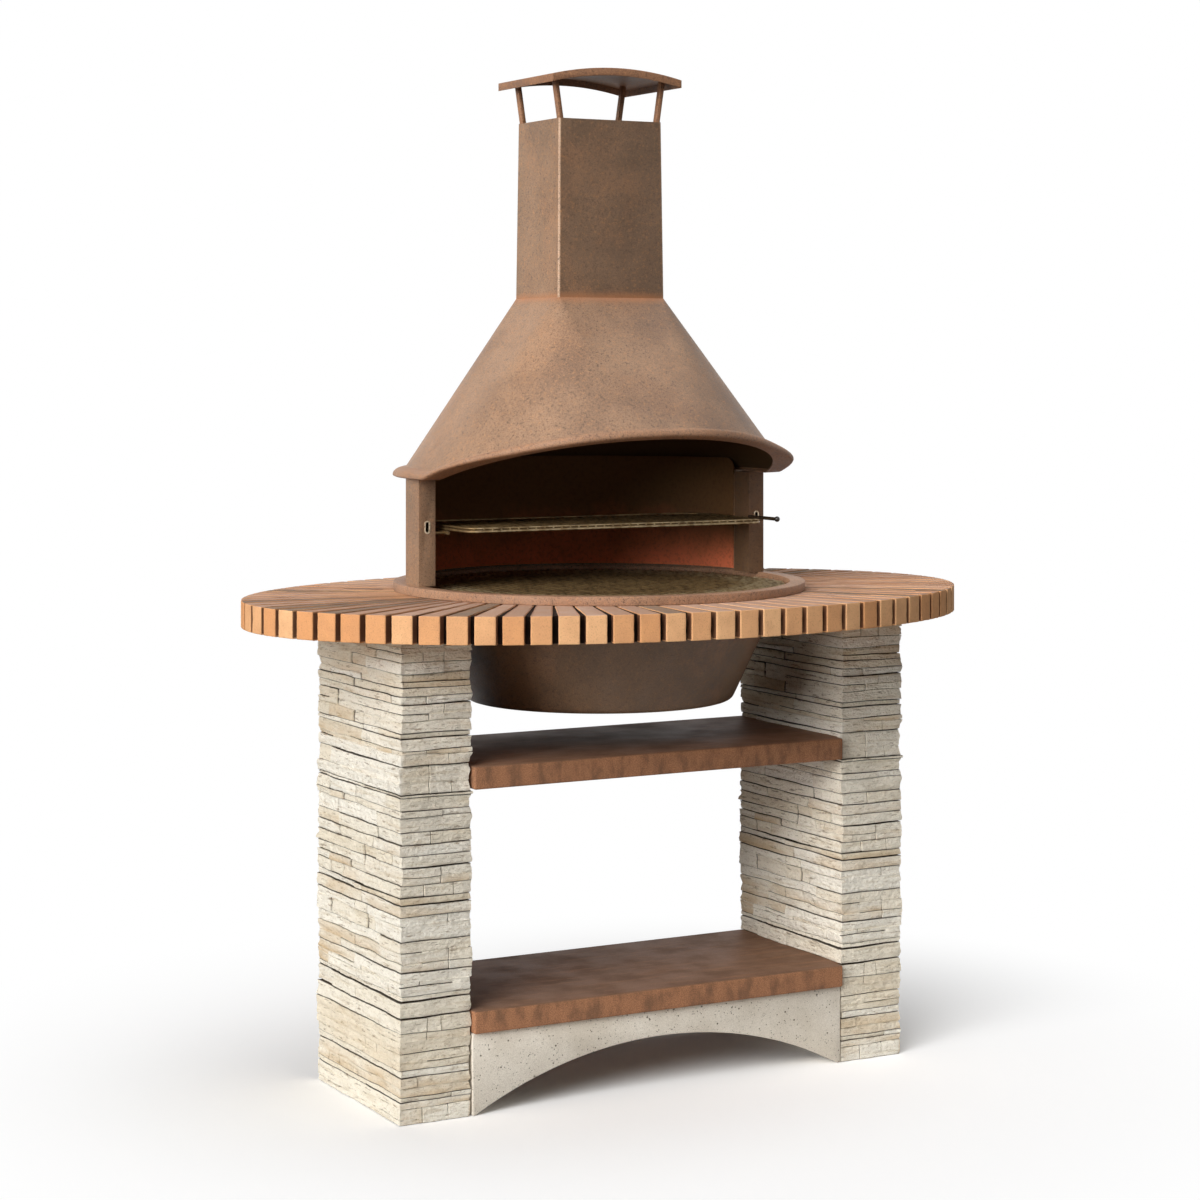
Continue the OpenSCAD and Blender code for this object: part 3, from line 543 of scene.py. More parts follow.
def stone_pillar(node):
    """All courses of one pillar over a core painted dark as shade"""
    lo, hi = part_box(node)
    chance = random.Random(23)
    bm = bmesh.new()
    scale = (hi.z - lo.z) / sum(courses)
    foot_z = lo.z
    for level, course in enumerate(courses):
        head_z = foot_z + course * scale
        gap = chance.choice(course_gaps) if level < len(courses) - 1 else 0
        low, high = Vector((lo.x, lo.y, foot_z)), Vector((hi.x, hi.y, head_z))
        ring = stone_course(low, high, gap, chance, level)
        part = bpy.data.meshes.new("course")
        ring.to_mesh(part)
        ring.free()
        bm.from_mesh(part)
        bpy.data.meshes.remove(part)
        foot_z = head_z
    look = bm.verts.layers.float_color["stone"]
    core = bmesh.ops.create_cube(bm, size=1)["verts"]
    bmesh.ops.scale(bm, verts=core, vec=hi - lo - Vector((2 * core_in, 2 * core_in, core_short)))
    bmesh.ops.translate(bm, verts=core, vec=(lo + hi) / 2)
    # Painted shade: the core is marked as dark as the joints.
    for vert in core:
        vert[look] = (0, 0, 1, 1)
    return bm


stone_finish = split_stone()
casting = stone_pillar("left_pillar")
cast_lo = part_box("left_pillar")[0]
for node in ("left_pillar", "right_pillar"):
    shifted = casting.copy()
    bmesh.ops.translate(shifted, verts=shifted.verts, vec=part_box(node)[0] - cast_lo)
    new_piece(node + "_stones", shifted, "barbecue", [stone_finish], node, sharp=50)
casting.free()


# Base panel: a plain concrete casting with a shallow arch cut out of its foot and its arrises
# just broken. It is tenoned into both pillars and is light grey-beige with small dark pores.
def broken_edges(node, width, segments=2, sharp=35, flat=0.4):
    """A copy of a CAD node's mesh, joined up, with its sharp edges rounded"""
    bm = bmesh.new()
    bm.from_mesh(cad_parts[node].data)
    bmesh.ops.remove_doubles(bm, verts=bm.verts, dist=1e-5)
    bmesh.ops.dissolve_limit(bm, angle_limit=math.radians(flat), verts=bm.verts, edges=bm.edges)
    corners = [e for e in bm.edges
               if len(e.link_faces) == 2 and e.calc_face_angle(0) > math.radians(sharp)]
    bmesh.ops.bevel(bm, geom=corners, offset=width, offset_type="OFFSET", segments=segments,
                    profile=0.5, affect="EDGES", material=-1, clamp_overlap=True)
    return bm


def light_concrete():
    """Grey-beige cast concrete, softly clouded, with small round pores"""
    made, tree, shader = new_surface("light_concrete", tone(214, 206, 192), 0.85, specular=0.3)
    cloud = grain(tree, 9, detail=5)
    sand = grain(tree, 520, detail=2)
    colour = mixed(tree, ranged(tree, cloud, 0.3, 0.7), tone(233, 225, 211), tone(212, 202, 186))
    colour = flecked(tree, colour, sand, 0.35, 0.65, 0.35, tone(178, 166, 148))
    pores = None
    for size, cut in ((75, 0.16), (150, 0.20), (260, 0.21)):
        at = tree.nodes.new("ShaderNodeTexCoord")
        cells = tree.nodes.new("ShaderNodeTexVoronoi")
        cells.inputs["Scale"].default_value = size
        cells.inputs["Randomness"].default_value = 1
        tree.links.new(at.outputs["Object"], cells.inputs["Vector"])
        hole = ranged(tree, cells.outputs["Distance"], cut - 0.05, cut, 1, 0)
        some = ranged(tree, grain(tree, size * 0.45, detail=1, shift=(size, 0, 0)), 0.52, 0.57)
        hole = times(tree, hole, some)
        pores = hole if pores is None else worked_out(tree, "MAXIMUM", pores, hole)
    colour = mixed(tree, times(tree, pores, 0.85), colour, tone(84, 72, 56))
    tree.links.new(colour, shader.inputs["Base Color"])
    raised(tree, shader, worked_out(tree, "SUBTRACT", times(tree, sand, 0.15), pores), 0.0012, 0.8)
    return made


new_piece("arch_panel_cast", broken_edges("arch_panel", width=0.0018), "barbecue",
          [light_concrete()], "arch_panel")


# Shelves: two slabs of brown stained concrete with rounded edges, housed in the pillars. Their
# tops are trowelled smooth and streaked along the slab, and the stain has run down their edges.
# The edges are painted lighter and more orange than the tops, in part as painted light.
def parts_of(tree, vector):
    """The three parts of a vector"""
    split = tree.nodes.new("ShaderNodeSeparateXYZ")
    tree.links.new(vector, split.inputs[0])
    return split.outputs


def facing_up(tree, low, high):
    """1 on faces that look up, easing to 0 on upright ones"""
    facing = tree.nodes.new("ShaderNodeNewGeometry")
    return ranged(tree, parts_of(tree, facing.outputs["Normal"])["Z"], low, high)


def stained_concrete():
    """Brown stain, orange and streaked on the edges, darker on the trowelled top; the difference is in
    part painted light
    """
    made, tree, shader = new_surface("stained_concrete", tone(120, 90, 70), 0.62, specular=0.06)
    top = facing_up(tree, 0.35, 0.8)
    cloud = grain(tree, 11, detail=6, roughness=0.6)
    patch = grain(tree, 36, (1, 1, 0.45), detail=6, roughness=0.6, shift=(4, 2, 0))
    stroke = grain(tree, 26, (0.3, 2.2, 1), detail=7, roughness=0.68, shift=(2, 5, 1))
    sand = grain(tree, 480, detail=2)
    edge = mixed(tree, ranged(tree, patch, 0.40, 0.68), tone(178, 126, 92), tone(134, 99, 76))
    edge = flecked(tree, edge, sand, 0.36, 0.66, 0.55, tone(98, 72, 56))
    plate = mixed(tree, ranged(tree, cloud, 0.3, 0.75), tone(144, 109, 86), tone(122, 93, 74))
    plate = flecked(tree, plate, stroke, 0.48, 0.66, 0.5, tone(164, 120, 90))
    plate = flecked(tree, plate, sand, 0.4, 0.6, 0.18, tone(70, 56, 48))
    # Painted light in part: the edges lighter and more orange, the tops darker.
    tree.links.new(mixed(tree, top, edge, plate), shader.inputs["Base Color"])
    tree.links.new(ranged(tree, cloud, 0.3, 0.75, 0.5, 0.68), shader.inputs["Roughness"])
    raised(tree, shader, times(tree, sand, ranged(tree, top, 0, 1, 1, 0.3)), 0.0006, 0.7)
    return made


stained = stained_concrete()
for node in ("lower_shelf", "middle_shelf"):
    new_piece(node + "_slab", broken_edges(node, width=0.004, segments=4), "barbecue",
              [stained], node)


# Worktop: some eighty tapered firebricks on edge round the brazier, glued to a mortar bed that
# closes their joints inside and is raked back at the rim. The bricks are sawn, sandy orange
# outside and pinkish brown on top, painted lighter outside and darker on top in part as painted
# light, with worn arrises and painted shade on their flanks. The mortar is painted near black as
# shade in its deep joints.
def firebrick():
    """Fired clay: orange ends and pinkish tops, the ends lighter and the tops darker in part as painted
    light, a tone for each brick, and painted shade on the flanks
    """
    made, tree, shader = new_surface("firebrick", tone(225, 170, 124), 0.88, specular=0.3)
    brick = painted(tree, "brick")
    sand = grain(tree, 430, detail=3)
    cloud = grain(tree, 26, detail=4)
    end = mixed(tree, brick["Red"], tone(248, 194, 142), tone(228, 162, 108))
    plate = mixed(tree, brick["Red"], tone(212, 175, 153), tone(188, 151, 129))
    plate = mixed(tree, brick["Green"], plate, tone(146, 126, 109))
    # Painted light in part: the ends are lighter and the tops darker than the clay's own colours.
    colour = mixed(tree, facing_up(tree, 0.5, 0.9), end, plate)
    colour = flecked(tree, colour, cloud, 0.35, 0.7, 0.3, tone(196, 140, 100))
    colour = flecked(tree, colour, sand, 0.52, 0.72, 0.38, tone(168, 112, 70))
    colour = flecked(tree, colour, sand, 0.25, 0.42, 0.3, tone(246, 198, 150), hollows=True)
    # Painted shade: the flanks, deep in the raked joints, go dark red-brown.
    colour = mixed(tree, times(tree, brick["Blue"], 0.85), colour, tone(92, 54, 37))
    tree.links.new(colour, shader.inputs["Base Color"])
    raised(tree, shader, sand, 0.0009, 0.7)
    return made


def mortar():
    """Brown raked mortar, painted near black as shade in its deep joints"""
    made, tree, shader = new_surface("raked_mortar", tone(92, 62, 44), 0.95, specular=0.2)
    cloud = grain(tree, 60, detail=5)
    sand = grain(tree, 600, detail=2)
    colour = mixed(tree, ranged(tree, cloud, 0.3, 0.7), tone(46, 29, 20), tone(28, 17, 12))
    tree.links.new(colour, shader.inputs["Base Color"])
    raised(tree, shader, sand, 0.001, 0.8)
    return made


arris = 0.0013
arris_worn = 0.0011
arris_ragged = 0.0004
flat_area = 2e-4
flank_area = 0.006
flank_in = 0.0016
long_edge = 0.03
long_cuts = 5
grey_share = 0.16


def worn_bricks(node, finish, chance):
    """The bricks of one sector: worn arrises, flanks marked for painted shade, and a tone and a greyness
    each
    """
    bm = broken_edges(node, width=arris, flat=0.2)
    look = bm.verts.layers.float_color.new("brick")
    for vert in bm.verts:
        vert[look] = (0, 0, 0, 1)
    flats = [face for face in bm.faces if face.calc_area() > flat_area]
    bmesh.ops.inset_individual(bm, faces=flats, thickness=flank_in, use_even_offset=True)
    # The large upright faces left after the inset are the flanks, marked for painted shade.
    for face in flats:
        if face.calc_area() > flank_area and abs(face.normal.z) < 0.3:
            for vert in face.verts:
                vert[look].z = 1
    long_edges = [e for e in bm.edges if e.calc_length() > long_edge]
    bmesh.ops.subdivide_edges(bm, edges=long_edges, cuts=long_cuts, use_grid_fill=True)
    seen = set()
    for first in bm.verts:
        if first in seen:
            continue
        shade = chance.uniform(0, 1)
        greyer = 1 if chance.uniform(0, 1) < grey_share else 0
        waiting = [first]
        seen.add(first)
        while waiting:
            vert = waiting.pop()
            vert[look] = (shade, greyer, vert[look].z, 1)
            for edge in vert.link_edges:
                other = edge.other_vert(vert)
                if other not in seen:
                    seen.add(other)
                    waiting.append(other)
    for vert in bm.verts:
        bent = max((e.calc_face_angle(0) for e in vert.link_edges if len(e.link_faces) == 2), default=0)
        if bent > 0.3:
            worn = arris_worn * max(0, noise.noise(vert.co * 70))
            worn += arris_ragged * noise.noise(vert.co * 400)
            vert.co -= vert.normal * max(0, worn)
    new_piece(node + "_worn", bm, "barbecue", [finish], node, sharp=50)


brick_finish = firebrick()
brick_chance = random.Random(8)
for node in sorted(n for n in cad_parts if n.startswith("bricks_")):
    worn_bricks(node, brick_finish, brick_chance)


def dress(nodes, finish):
    """Gives carried CAD nodes their finish, through their own material slots"""
    for node in nodes:
        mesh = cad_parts[node].data
        if not mesh.materials:
            mesh.materials.append(finish)
        for slot in range(len(mesh.materials)):
            mesh.materials[slot] = finish


dress(["worktop_core"], mortar())


# Brazier: a pressed steel pan that hangs by its flange on the bricks, and the flat steel ring over
# the flange that carries the firebox. Both have a brown heat-proof coat gone rusty. The ring's coat
# is painted lighter as painted light, and the pan's darker, with soot and with painted shade from
# the worktop over it.
def spot_on(tree):
    """The three parts of a place on the object, in metres"""
    at = tree.nodes.new("ShaderNodeTexCoord")
    return parts_of(tree, at.outputs["Object"])


rust_brown = tone(206, 150, 104)


def rusty_coat(name, light, dark, rust=0.3, roughness=0.52, seam=None, speck=rust_brown):
    """Brown coat over steel: clouded, finely specked, and rustier at the height of a seam"""
    made, tree, shader = new_surface(name, light, roughness, specular=0.4)
    cloud = grain(tree, 6, detail=7, roughness=0.62)
    streak = grain(tree, 15, (1, 1, 0.4), detail=6, shift=(2, 5, 1))
    dust = grain(tree, 5, detail=6, roughness=0.68, shift=(7, 3, 2))
    freckle = grain(tree, 160, detail=6, roughness=0.78)
    sand = grain(tree, 520, detail=3, roughness=0.7)
    colour = mixed(tree, ranged(tree, cloud, 0.30, 0.74), light, dark)
    colour = flecked(tree, colour, streak, 0.50, 0.78, 0.28, tone(116, 96, 80))
    colour = flecked(tree, colour, dust, 0.46, 0.66, rust, tone(180, 130, 94))
    colour = flecked(tree, colour, freckle, 0.54, 0.64, 0.6, speck)
    colour = flecked(tree, colour, freckle, 0.36, 0.46, 0.7, tone(80, 58, 43), hollows=True)
    colour = flecked(tree, colour, sand, 0.38, 0.50, 0.55, tone(84, 62, 48), hollows=True)
    if seam is not None:
        off = worked_out(tree, "ABSOLUTE", plus(tree, spot_on(tree)["Z"], -seam))
        off = plus(tree, off, times(tree, dust, -0.020))
        colour = flecked(tree, colour, off, -0.012, 0.006, 0.6, tone(190, 126, 82), hollows=True)
    tree.links.new(colour, shader.inputs["Base Color"])
    rough = ranged(tree, freckle, 0.3, 0.7, roughness - 0.1, roughness + 0.12)
    tree.links.new(rough, shader.inputs["Roughness"])
    raised(tree, shader, plus(tree, sand, freckle), 0.0009, 0.8)
    return made


# Painted light: a lighter copy of the coat for the ring.
ring_lit_coat = rusty_coat("ring_lit_coat", tone(190, 147, 116), tone(162, 121, 94))
new_piece("brazier_ring_steel", broken_edges("brazier_ring", width=0.0016, segments=3), "barbecue",
          [ring_lit_coat], "brazier_ring")
# A darker copy of the coat for the pan: soot, and painted shade under the worktop.
pan_soot_and_shade_coat = rusty_coat("pan_soot_and_shade_coat", tone(122, 94, 69), tone(88, 68, 50), rust=0.35,
                      speck=tone(142, 104, 72))
dress(["brazier_bowl"], pan_soot_and_shade_coat)


# Charcoal grate: bars in a round frame, cast in iron in one piece and left bare. It lies loose on
# four lugs in the bowl.
def cast_iron():
    """Dark cast iron with a sandy skin and traces of ash"""
    made, tree, shader = new_surface("cast_iron", tone(62, 56, 50), 0.75, metallic=0.4)
    cloud = grain(tree, 24, detail=5)
    sand = grain(tree, 500, detail=3)
    colour = mixed(tree, ranged(tree, cloud, 0.35, 0.7), tone(66, 60, 54), tone(96, 88, 80))
    tree.links.new(colour, shader.inputs["Base Color"])
    raised(tree, shader, sand, 0.0008, 0.8)
    return made


dress(["charcoal_grate"], cast_iron())


# Cooking grills and their rails: round steel wire, welded, heat-tinted to a brassy brown, and
# paler in a band near the edge, partly worn and partly a painted highlight. The lower one lies on
# the bowl's ledge, the upper one slides on two rails.
def tinted_wire(name, middle, reach, across, clean):
    """Heat-tinted wire, dark with burnt fat, and paler in a band of the given width, partly worn and
    partly a painted highlight

    The band lies at the end of the reach from a middle in y: all round a round grill, where
    across is 1, and along the front of a square one, where it is 0.
    """
    made, tree, shader = new_surface(name, tone(150, 124, 86), 0.4, metallic=0.6)
    cloud = grain(tree, 34, detail=5)
    fine = grain(tree, 300, detail=3)
    colour = mixed(tree, ranged(tree, cloud, 0.36, 0.7), tone(146, 120, 82), tone(98, 76, 48))
    spot = spot_on(tree)
    flat = tree.nodes.new("ShaderNodeCombineXYZ")
    tree.links.new(times(tree, spot["X"], across), flat.inputs["X"])
    tree.links.new(plus(tree, spot["Y"], -middle), flat.inputs["Y"])
    away = length_of(tree, flat.outputs[0])
    # Partly wear, partly a painted highlight: a pale band near the edge, broken up by noise.
    rim = ranged(tree, away, reach - clean, reach - 0.5 * clean)
    worn_and_highlit = ranged(tree, grain(tree, 60, detail=2, shift=(3, 3, 3)), 0.36, 0.60, 0.1, 0.6)
    colour = mixed(tree, times(tree, rim, worn_and_highlit), colour, tone(204, 184, 146))
    colour = flecked(tree, colour, fine, 0.5, 0.7, 0.15, tone(84, 64, 42))
    tree.links.new(colour, shader.inputs["Base Color"])
    tree.links.new(ranged(tree, fine, 0.3, 0.7, 0.3, 0.55), shader.inputs["Roughness"])
    raised(tree, shader, fine, 0.0003, 0.5)
    return made


grill_lo, grill_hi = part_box("lower_grill")
lower_wire = tinted_wire("lower_wire", middle=grill_lo.y + grill_hi.x, reach=grill_hi.x, across=1,
                         clean=0.120)
dress(["lower_grill"], lower_wire)
slide_lo, slide_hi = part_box("upper_grill")
upper_wire = tinted_wire("upper_wire", middle=slide_hi.y, reach=slide_hi.y - slide_lo.y, across=0,
                         clean=0.005)
dress(["upper_grill", "left_grill_rail", "right_grill_rail"], upper_wire)


# Firebox: two box-section posts welded on the ring, each with a rimmed slot in its front, and a
# curved wall bolted behind them. Inside hangs a thin heat shield on threaded bushes, its rust-red
# coat blackened by smoke. The posts carry a darker coat too: smoke on their sides facing the fire,
# and painted shade on the rest of the right one.
def sooted(name, light, dark):
    """Red-brown steel, cleaner and redder low down, sooty above"""
    made, tree, shader = new_surface(name, light, 0.7, specular=0.3)
    cloud = grain(tree, 8, detail=6, roughness=0.62)
    height = plus(tree, spot_on(tree)["Z"], times(tree, cloud, 0.14))
    fine = grain(tree, 160, detail=4)
    colour = mixed(tree, ranged(tree, height, 1.0, 1.15), light, dark)
    colour = flecked(tree, colour, fine, 0.45, 0.7, 0.25, tone(72, 42, 28))
    tree.links.new(colour, shader.inputs["Base Color"])
    raised(tree, shader, fine, 0.0004, 0.5)
    return made


post_coat = rusty_coat("rusty_coat", tone(172, 137, 108), tone(136, 108, 84))
# A darker copy of the coat: smoke on the sides facing the fire, painted shade elsewhere on the right
# post.
smoked_and_shaded = rusty_coat("smoked_coat", tone(136, 104, 76), tone(104, 79, 57), rust=0.15,
                    speck=tone(150, 108, 74))
soot_red = sooted("sooted_steel", tone(246, 130, 88), tone(122, 86, 50))
for post in ("left_post", "right_post"):
    bm = broken_edges(post, width=0.0018, segments=3)
    for face in bm.faces:
        # The same darker coat on the sides facing the fire as smoke, and on the rest of the right post as
        # painted shade.
        smoke_and_shade_face = post == "right_post" or face.normal.x > 0.8
        face.material_index = 1 if smoke_and_shade_face else 0
    new_piece(post + "_steel", bm, "barbecue", [post_coat, smoked_and_shaded], post)
dress(["firebox_wall"], post_coat)
dress(["heat_shield"], soot_red)


def pale_steel():
    """Bare pressed steel of the slot rims"""
    made, tree, shader = new_surface("pale_steel", tone(214, 196, 168), 0.4, metallic=0.6)
    fine = grain(tree, 260, detail=3)
    colour = mixed(tree, ranged(tree, fine, 0.4, 0.7), tone(222, 204, 176), tone(160, 138, 108))
    tree.links.new(colour, shader.inputs["Base Color"])
    return made


def zinc_fixing():
    """Zinc-plated steel, dulled by heat"""
    made, tree, shader = new_surface("zinc_fixing", tone(140, 132, 120), 0.45, metallic=0.8)
    fine = grain(tree, 220, detail=3)
    colour = mixed(tree, ranged(tree, fine, 0.4, 0.7), tone(150, 142, 130), tone(98, 84, 70))
    tree.links.new(colour, shader.inputs["Base Color"])
    return made


dress(["left_slot_rim", "right_slot_rim"], pale_steel())
dress(["wall_bolts", "shield_spacers", "shield_screws"], zinc_fixing())


# Handle: a steel rod welded over the upper grill's right front corner, with a small ball screwed
# on its end.
def blued_steel():
    """Dark heat-blued rod"""
    made, tree, shader = new_surface("blued_steel", tone(96, 78, 60), 0.35, metallic=0.8)
    fine = grain(tree, 120, detail=4)
    colour = mixed(tree, ranged(tree, fine, 0.35, 0.7), tone(112, 92, 70), tone(60, 48, 38))
    tree.links.new(colour, shader.inputs["Base Color"])
    return made


def black_knob():
    """Glossy dark phenolic"""
    made, tree, shader = new_surface("black_knob", tone(46, 40, 34), 0.25)
    fine = grain(tree, 90, detail=3)
    colour = mixed(tree, ranged(tree, fine, 0.4, 0.7), tone(50, 43, 36), tone(34, 29, 25))
    tree.links.new(colour, shader.inputs["Base Color"])
    return made


dress(["handle_rod"], blued_steel())
dress(["handle_knob"], black_knob())


# Hood: sheet steel folded from the round mouth to the rectangular chimney, its front cut away in a
# rising plane. A rolled lip is welded round the mouth, wide at the back and sides, flared at the
# two front corners and narrow over the front.
mm = 0.001
# The foot is a circle of the firebox's radius, its middle a little behind the worktop's, and it
# reaches just below the lip's underside.
fire_r = 387 * mm
fire_back = 56 * mm
foot_drop = 0.3 * mm
hood_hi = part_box("hood")[1]
lip_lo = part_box("hood_lip")[0]
chimney_lo, chimney_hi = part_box("chimney")
hood_z = lip_lo.z - foot_drop
chimney_z = hood_hi.z
chimney_middle = (chimney_lo + chimney_hi) / 2
chimney_half = (chimney_hi - chimney_lo) / 2
fold_r = 5 * mm
mouth_slope = 0.325
mouth_back = 6 * mm
lip_over = 9 * mm
turns = 192
hood_steps = 14
halvings = 40
hood_sheet = 2.5 * mm


def foot(angle):
    """A point of the hood's round foot"""
    return Vector((fire_r * math.cos(angle), fire_back + fire_r * math.sin(angle), hood_z))


def head(angle):
    """The point of the hood's rectangular top that is ruled to the foot at this angle"""
    x = math.copysign(chimney_half.x - fold_r, math.cos(angle)) + fold_r * math.cos(angle)
    y = math.copysign(chimney_half.y - fold_r, math.sin(angle)) + fold_r * math.sin(angle)
    return Vector((x, chimney_middle.y + y, chimney_z))


def mouth_height(y):
    """Height of the mouth's plane, level at the back and rising to the front"""
    return lip_lo.z + mouth_slope * max(0, mouth_back - y)


def on_hood(angle, over):
    """The hood's outer face at a height over the mouth's plane"""
    low, high = foot(angle), head(angle)
    first, last = 0.0, 1.0
    for _ in range(halvings):
        share = (first + last) / 2
        at = low.lerp(high, share)
        if at.z < mouth_height(at.y) + over:
            first = share
        else:
            last = share
    return low.lerp(high, share)


def spun(points):
    """A skin spun right round the middle from a row of points a millimetre apart"""
    skin = bmesh.new()
    start = [skin.verts.new(point) for point in points]
    profile = [skin.edges.new(pair) for pair in zip(start, start[1:])]
    bmesh.ops.spin(skin, geom=start + profile, cent=(0, 0, 0), axis=(0, 0, 1), angle=2 * math.pi,
                   steps=turns, use_merge=True, use_duplicate=False)
    return skin


bm = spun([(fire_r, 0, k * mm) for k in range(hood_steps + 1)])
for vert in bm.verts:
    angle = math.atan2(vert.co.y, vert.co.x) + math.pi / turns
    share = round(vert.co.z / mm) / hood_steps
    vert.co = on_hood(angle, lip_over).lerp(head(angle), share)
bmesh.ops.recalc_face_normals(bm, faces=bm.faces)
outside = bm.faces[:]
if sum(f.normal.z > 0 for f in outside) < len(outside) / 2:
    bmesh.ops.reverse_faces(bm, faces=outside)
bmesh.ops.solidify(bm, geom=outside, thickness=hood_sheet)
bmesh.ops.recalc_face_normals(bm, faces=bm.faces)
for face in bm.faces:
    at = face.calc_center_median()
    outwards = at - Vector((0, chimney_middle.y, at.z))
    face.material_index = 1 if face.normal.dot(outwards) < 0 and face.normal.z < 0.2 else 0
soot_dark = sooted("hood_soot", tone(116, 88, 56), tone(92, 70, 44))
hood_coat = rusty_coat("hood_coat", tone(182, 144, 113), tone(138, 107, 84), 0.22, 0.46, chimney_z)
new_piece("hood_shell", bm, "barbecue", [hood_coat, soot_dark], "hood", sharp=30)

lip_out = 13 * mm
lip_flare = 19 * mm
lip_in = 17 * mm
lip_h = 19 * mm
lip_edge = 4 * mm
lip_t = 3 * mm
lip_bury = 1.4 * mm
nose_in = (5 * mm, 1.2 * mm)
nose_up = (0.4 * mm, 1.8 * mm)
roll_steps = 9
# Degrees from the front: where the lip widens towards the sides, and where it flares.
widens_from = 40
widens_over = 50
flare_at = 68
flare_spread = 14
mouth_front = on_hood(-math.pi / 2, 0).y


def lip_reach(angle):
    """How far the lip's nose stands out before the hood's foot"""
    from_front = abs((math.degrees(angle) + 270) % 360 - 180)
    share = max(0, min(1, (from_front - widens_from) / widens_over))
    wide = lip_out * share * share * (3 - 2 * share)
    return wide + lip_flare * math.exp(-((from_front - flare_at) / flare_spread) ** 2)


def lip_point(angle, out, up):
    """A point of the lip, out from the hood's foot and up from the mouth's plane"""
    reach = (fire_back - mouth_front if math.sin(angle) < 0 else fire_r) + out
    y = fire_back + reach * math.sin(angle)
    return Vector(((fire_r + out) * math.cos(angle), y, mouth_height(y) + up))


def inside_sheet(angle, over, depth):
    """A point inside the hood's sheet, to bury the lip's joint with it"""
    at = on_hood(angle, over)
    middle = Vector((0, chimney_middle.y, at.z))
    return at + (middle - at).normalized() * depth


def lip_section(angle):
    """One section of the lip: flat underside, thin nose, and a top rolled over to the hood"""
    out = lip_reach(angle)
    nose = lip_point(angle, out, lip_edge)
    seam = on_hood(angle, lip_h)
    points = [lip_point(angle, -lip_in, 0)]
    points += [lip_point(angle, out - inset, up) for inset, up in zip(nose_in, nose_up)]
    for step in range(roll_steps + 1):
        turn = math.pi / 2 * step / roll_steps
        across = 1 - math.cos(turn)
        rise = lip_edge + (lip_h - lip_edge) * math.sin(turn)
        flat = nose.lerp(seam, across)
        points.append(Vector((flat.x, flat.y, mouth_height(flat.y) + rise)))
    points.append(inside_sheet(angle, lip_h - 1 * mm, lip_bury))
    points.append(inside_sheet(angle, lip_t, lip_bury))
    points.append(lip_point(angle, -lip_in, lip_t))
    return points


count = len(lip_section(0))
bm = spun([(fire_r + k * mm, 0, 0) for k in range(count)])
rims = [edge for edge in bm.edges if edge.is_boundary]
bmesh.ops.bridge_loops(bm, edges=rims)
sections = {}
for vert in bm.verts:
    angle = round(math.atan2(vert.co.y, vert.co.x) / (2 * math.pi) * turns) % turns
    if angle not in sections:
        sections[angle] = lip_section(2 * math.pi * angle / turns)
    vert.co = sections[angle][round((vert.co.xy.length - fire_r) / mm)]
bmesh.ops.recalc_face_normals(bm, faces=bm.faces)
lip_coat = rusty_coat("lip_coat", tone(192, 148, 116), tone(164, 124, 96), rust=0.6)
new_piece("hood_lip_rolled", bm, "barbecue", [lip_coat], "hood_lip", sharp=42)


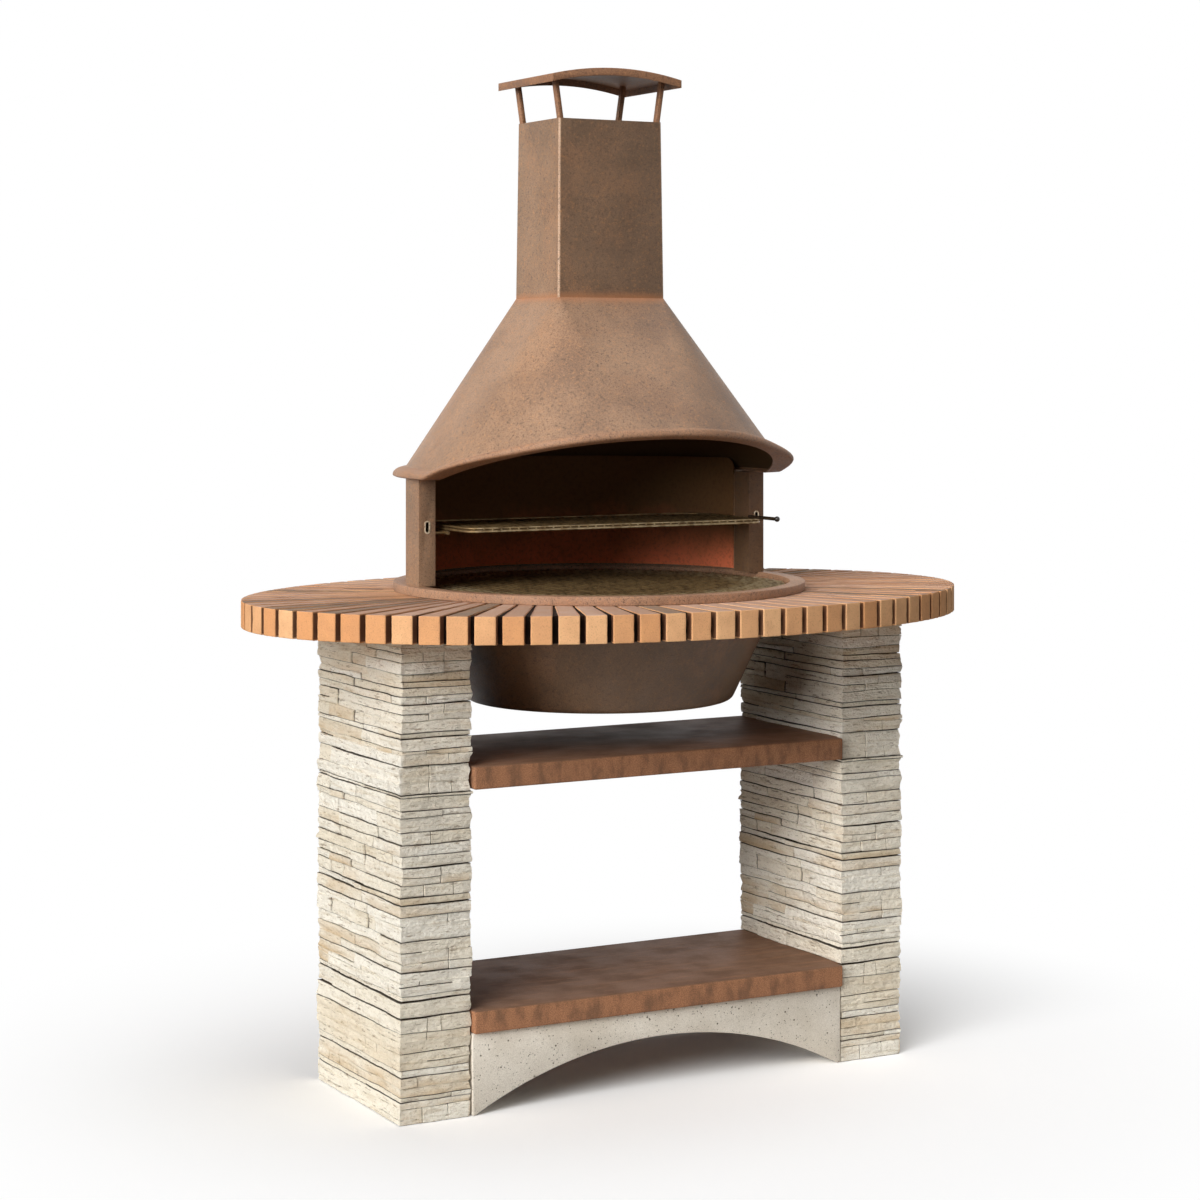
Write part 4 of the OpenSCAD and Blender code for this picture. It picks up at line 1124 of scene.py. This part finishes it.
# Chimney: a rectangular flue of folded sheet, drawn in a little towards its top and seated on the
# hood. Its folds are painted paler as a painted highlight and its front and back darker as painted
# shade, rust has gathered along its foot, and a short sleeve inside keeps it in line.
flue_draw = 8 * mm
flue_sheet = 2 * mm
bm = bmesh.new()
made = bmesh.ops.create_cube(bm, size=1)["verts"]
bmesh.ops.scale(bm, verts=made, vec=chimney_hi - chimney_lo)
bmesh.ops.delete(bm, geom=[f for f in bm.faces if abs(f.normal.z) > 0.5], context="FACES_ONLY")
folds = [e for e in bm.edges if abs(e.verts[0].co.z - e.verts[1].co.z) > 0.1]
bmesh.ops.bevel(bm, geom=folds, offset=fold_r, segments=5, profile=0.5, affect="EDGES", material=-1)
for vert in bm.verts:
    if vert.co.z > 0:
        vert.co.x *= 1 - flue_draw / 2 / chimney_half.x
        vert.co.y *= 1 - flue_draw / 2 / chimney_half.y
bmesh.ops.translate(bm, verts=bm.verts, vec=chimney_middle)
bmesh.ops.recalc_face_normals(bm, faces=bm.faces)
if sum(f.normal.dot(f.calc_center_median() - chimney_middle) > 0 for f in bm.faces) < len(bm.faces) / 2:
    bmesh.ops.reverse_faces(bm, faces=bm.faces)
bmesh.ops.solidify(bm, geom=bm.faces[:], thickness=flue_sheet)
bmesh.ops.recalc_face_normals(bm, faces=bm.faces)
side_coat = rusty_coat("side_coat", tone(172, 137, 108), tone(136, 108, 84), seam=chimney_z)
# Painted shade: a darker copy of the coat for the front and back faces.
front_shade_coat = rusty_coat("front_shade_coat", tone(140, 110, 85), tone(108, 84, 63), seam=chimney_z,
                        speck=tone(178, 128, 86))
# Painted highlight: a paler copy of the coat for the folds.
fold_highlight_coat = rusty_coat("fold_highlight_coat", tone(232, 196, 164), tone(206, 168, 138), 0.2, 0.42)
flue_coats = [side_coat, soot_dark, front_shade_coat, fold_highlight_coat]
for face in bm.faces:
    outwards = face.calc_center_median() - chimney_middle
    outwards.z = 0
    coat = side_coat
    # Painted shade on the front and back faces, a painted highlight on the folds.
    if abs(face.normal.x) < 0.05:
        coat = front_shade_coat
    elif 0.2 < abs(face.normal.x) < 0.97:
        coat = fold_highlight_coat
    if face.normal.dot(outwards) < 0 and abs(face.normal.z) < 0.5:
        coat = soot_dark
    face.material_index = flue_coats.index(coat)
new_piece("chimney_flue", bm, "barbecue", flue_coats, "chimney", sharp=30)
dress(["flue_spigot"], soot_dark)


# Cap: an arched lid of sheet steel with turned-down edges, to keep the rain out. It is welded on
# four flat legs that lean out of the chimney's top.
cap_coat = rusty_coat("cap_coat", tone(170, 122, 88), tone(140, 98, 70), rust=0.7)
new_piece("cap_lid", broken_edges("cap", width=0.0008, sharp=50), "barbecue",
          [cap_coat], "cap")
new_piece("cap_leg_bars", broken_edges("cap_legs", width=0.0012, sharp=50), "barbecue",
          [cap_coat], "cap_legs")
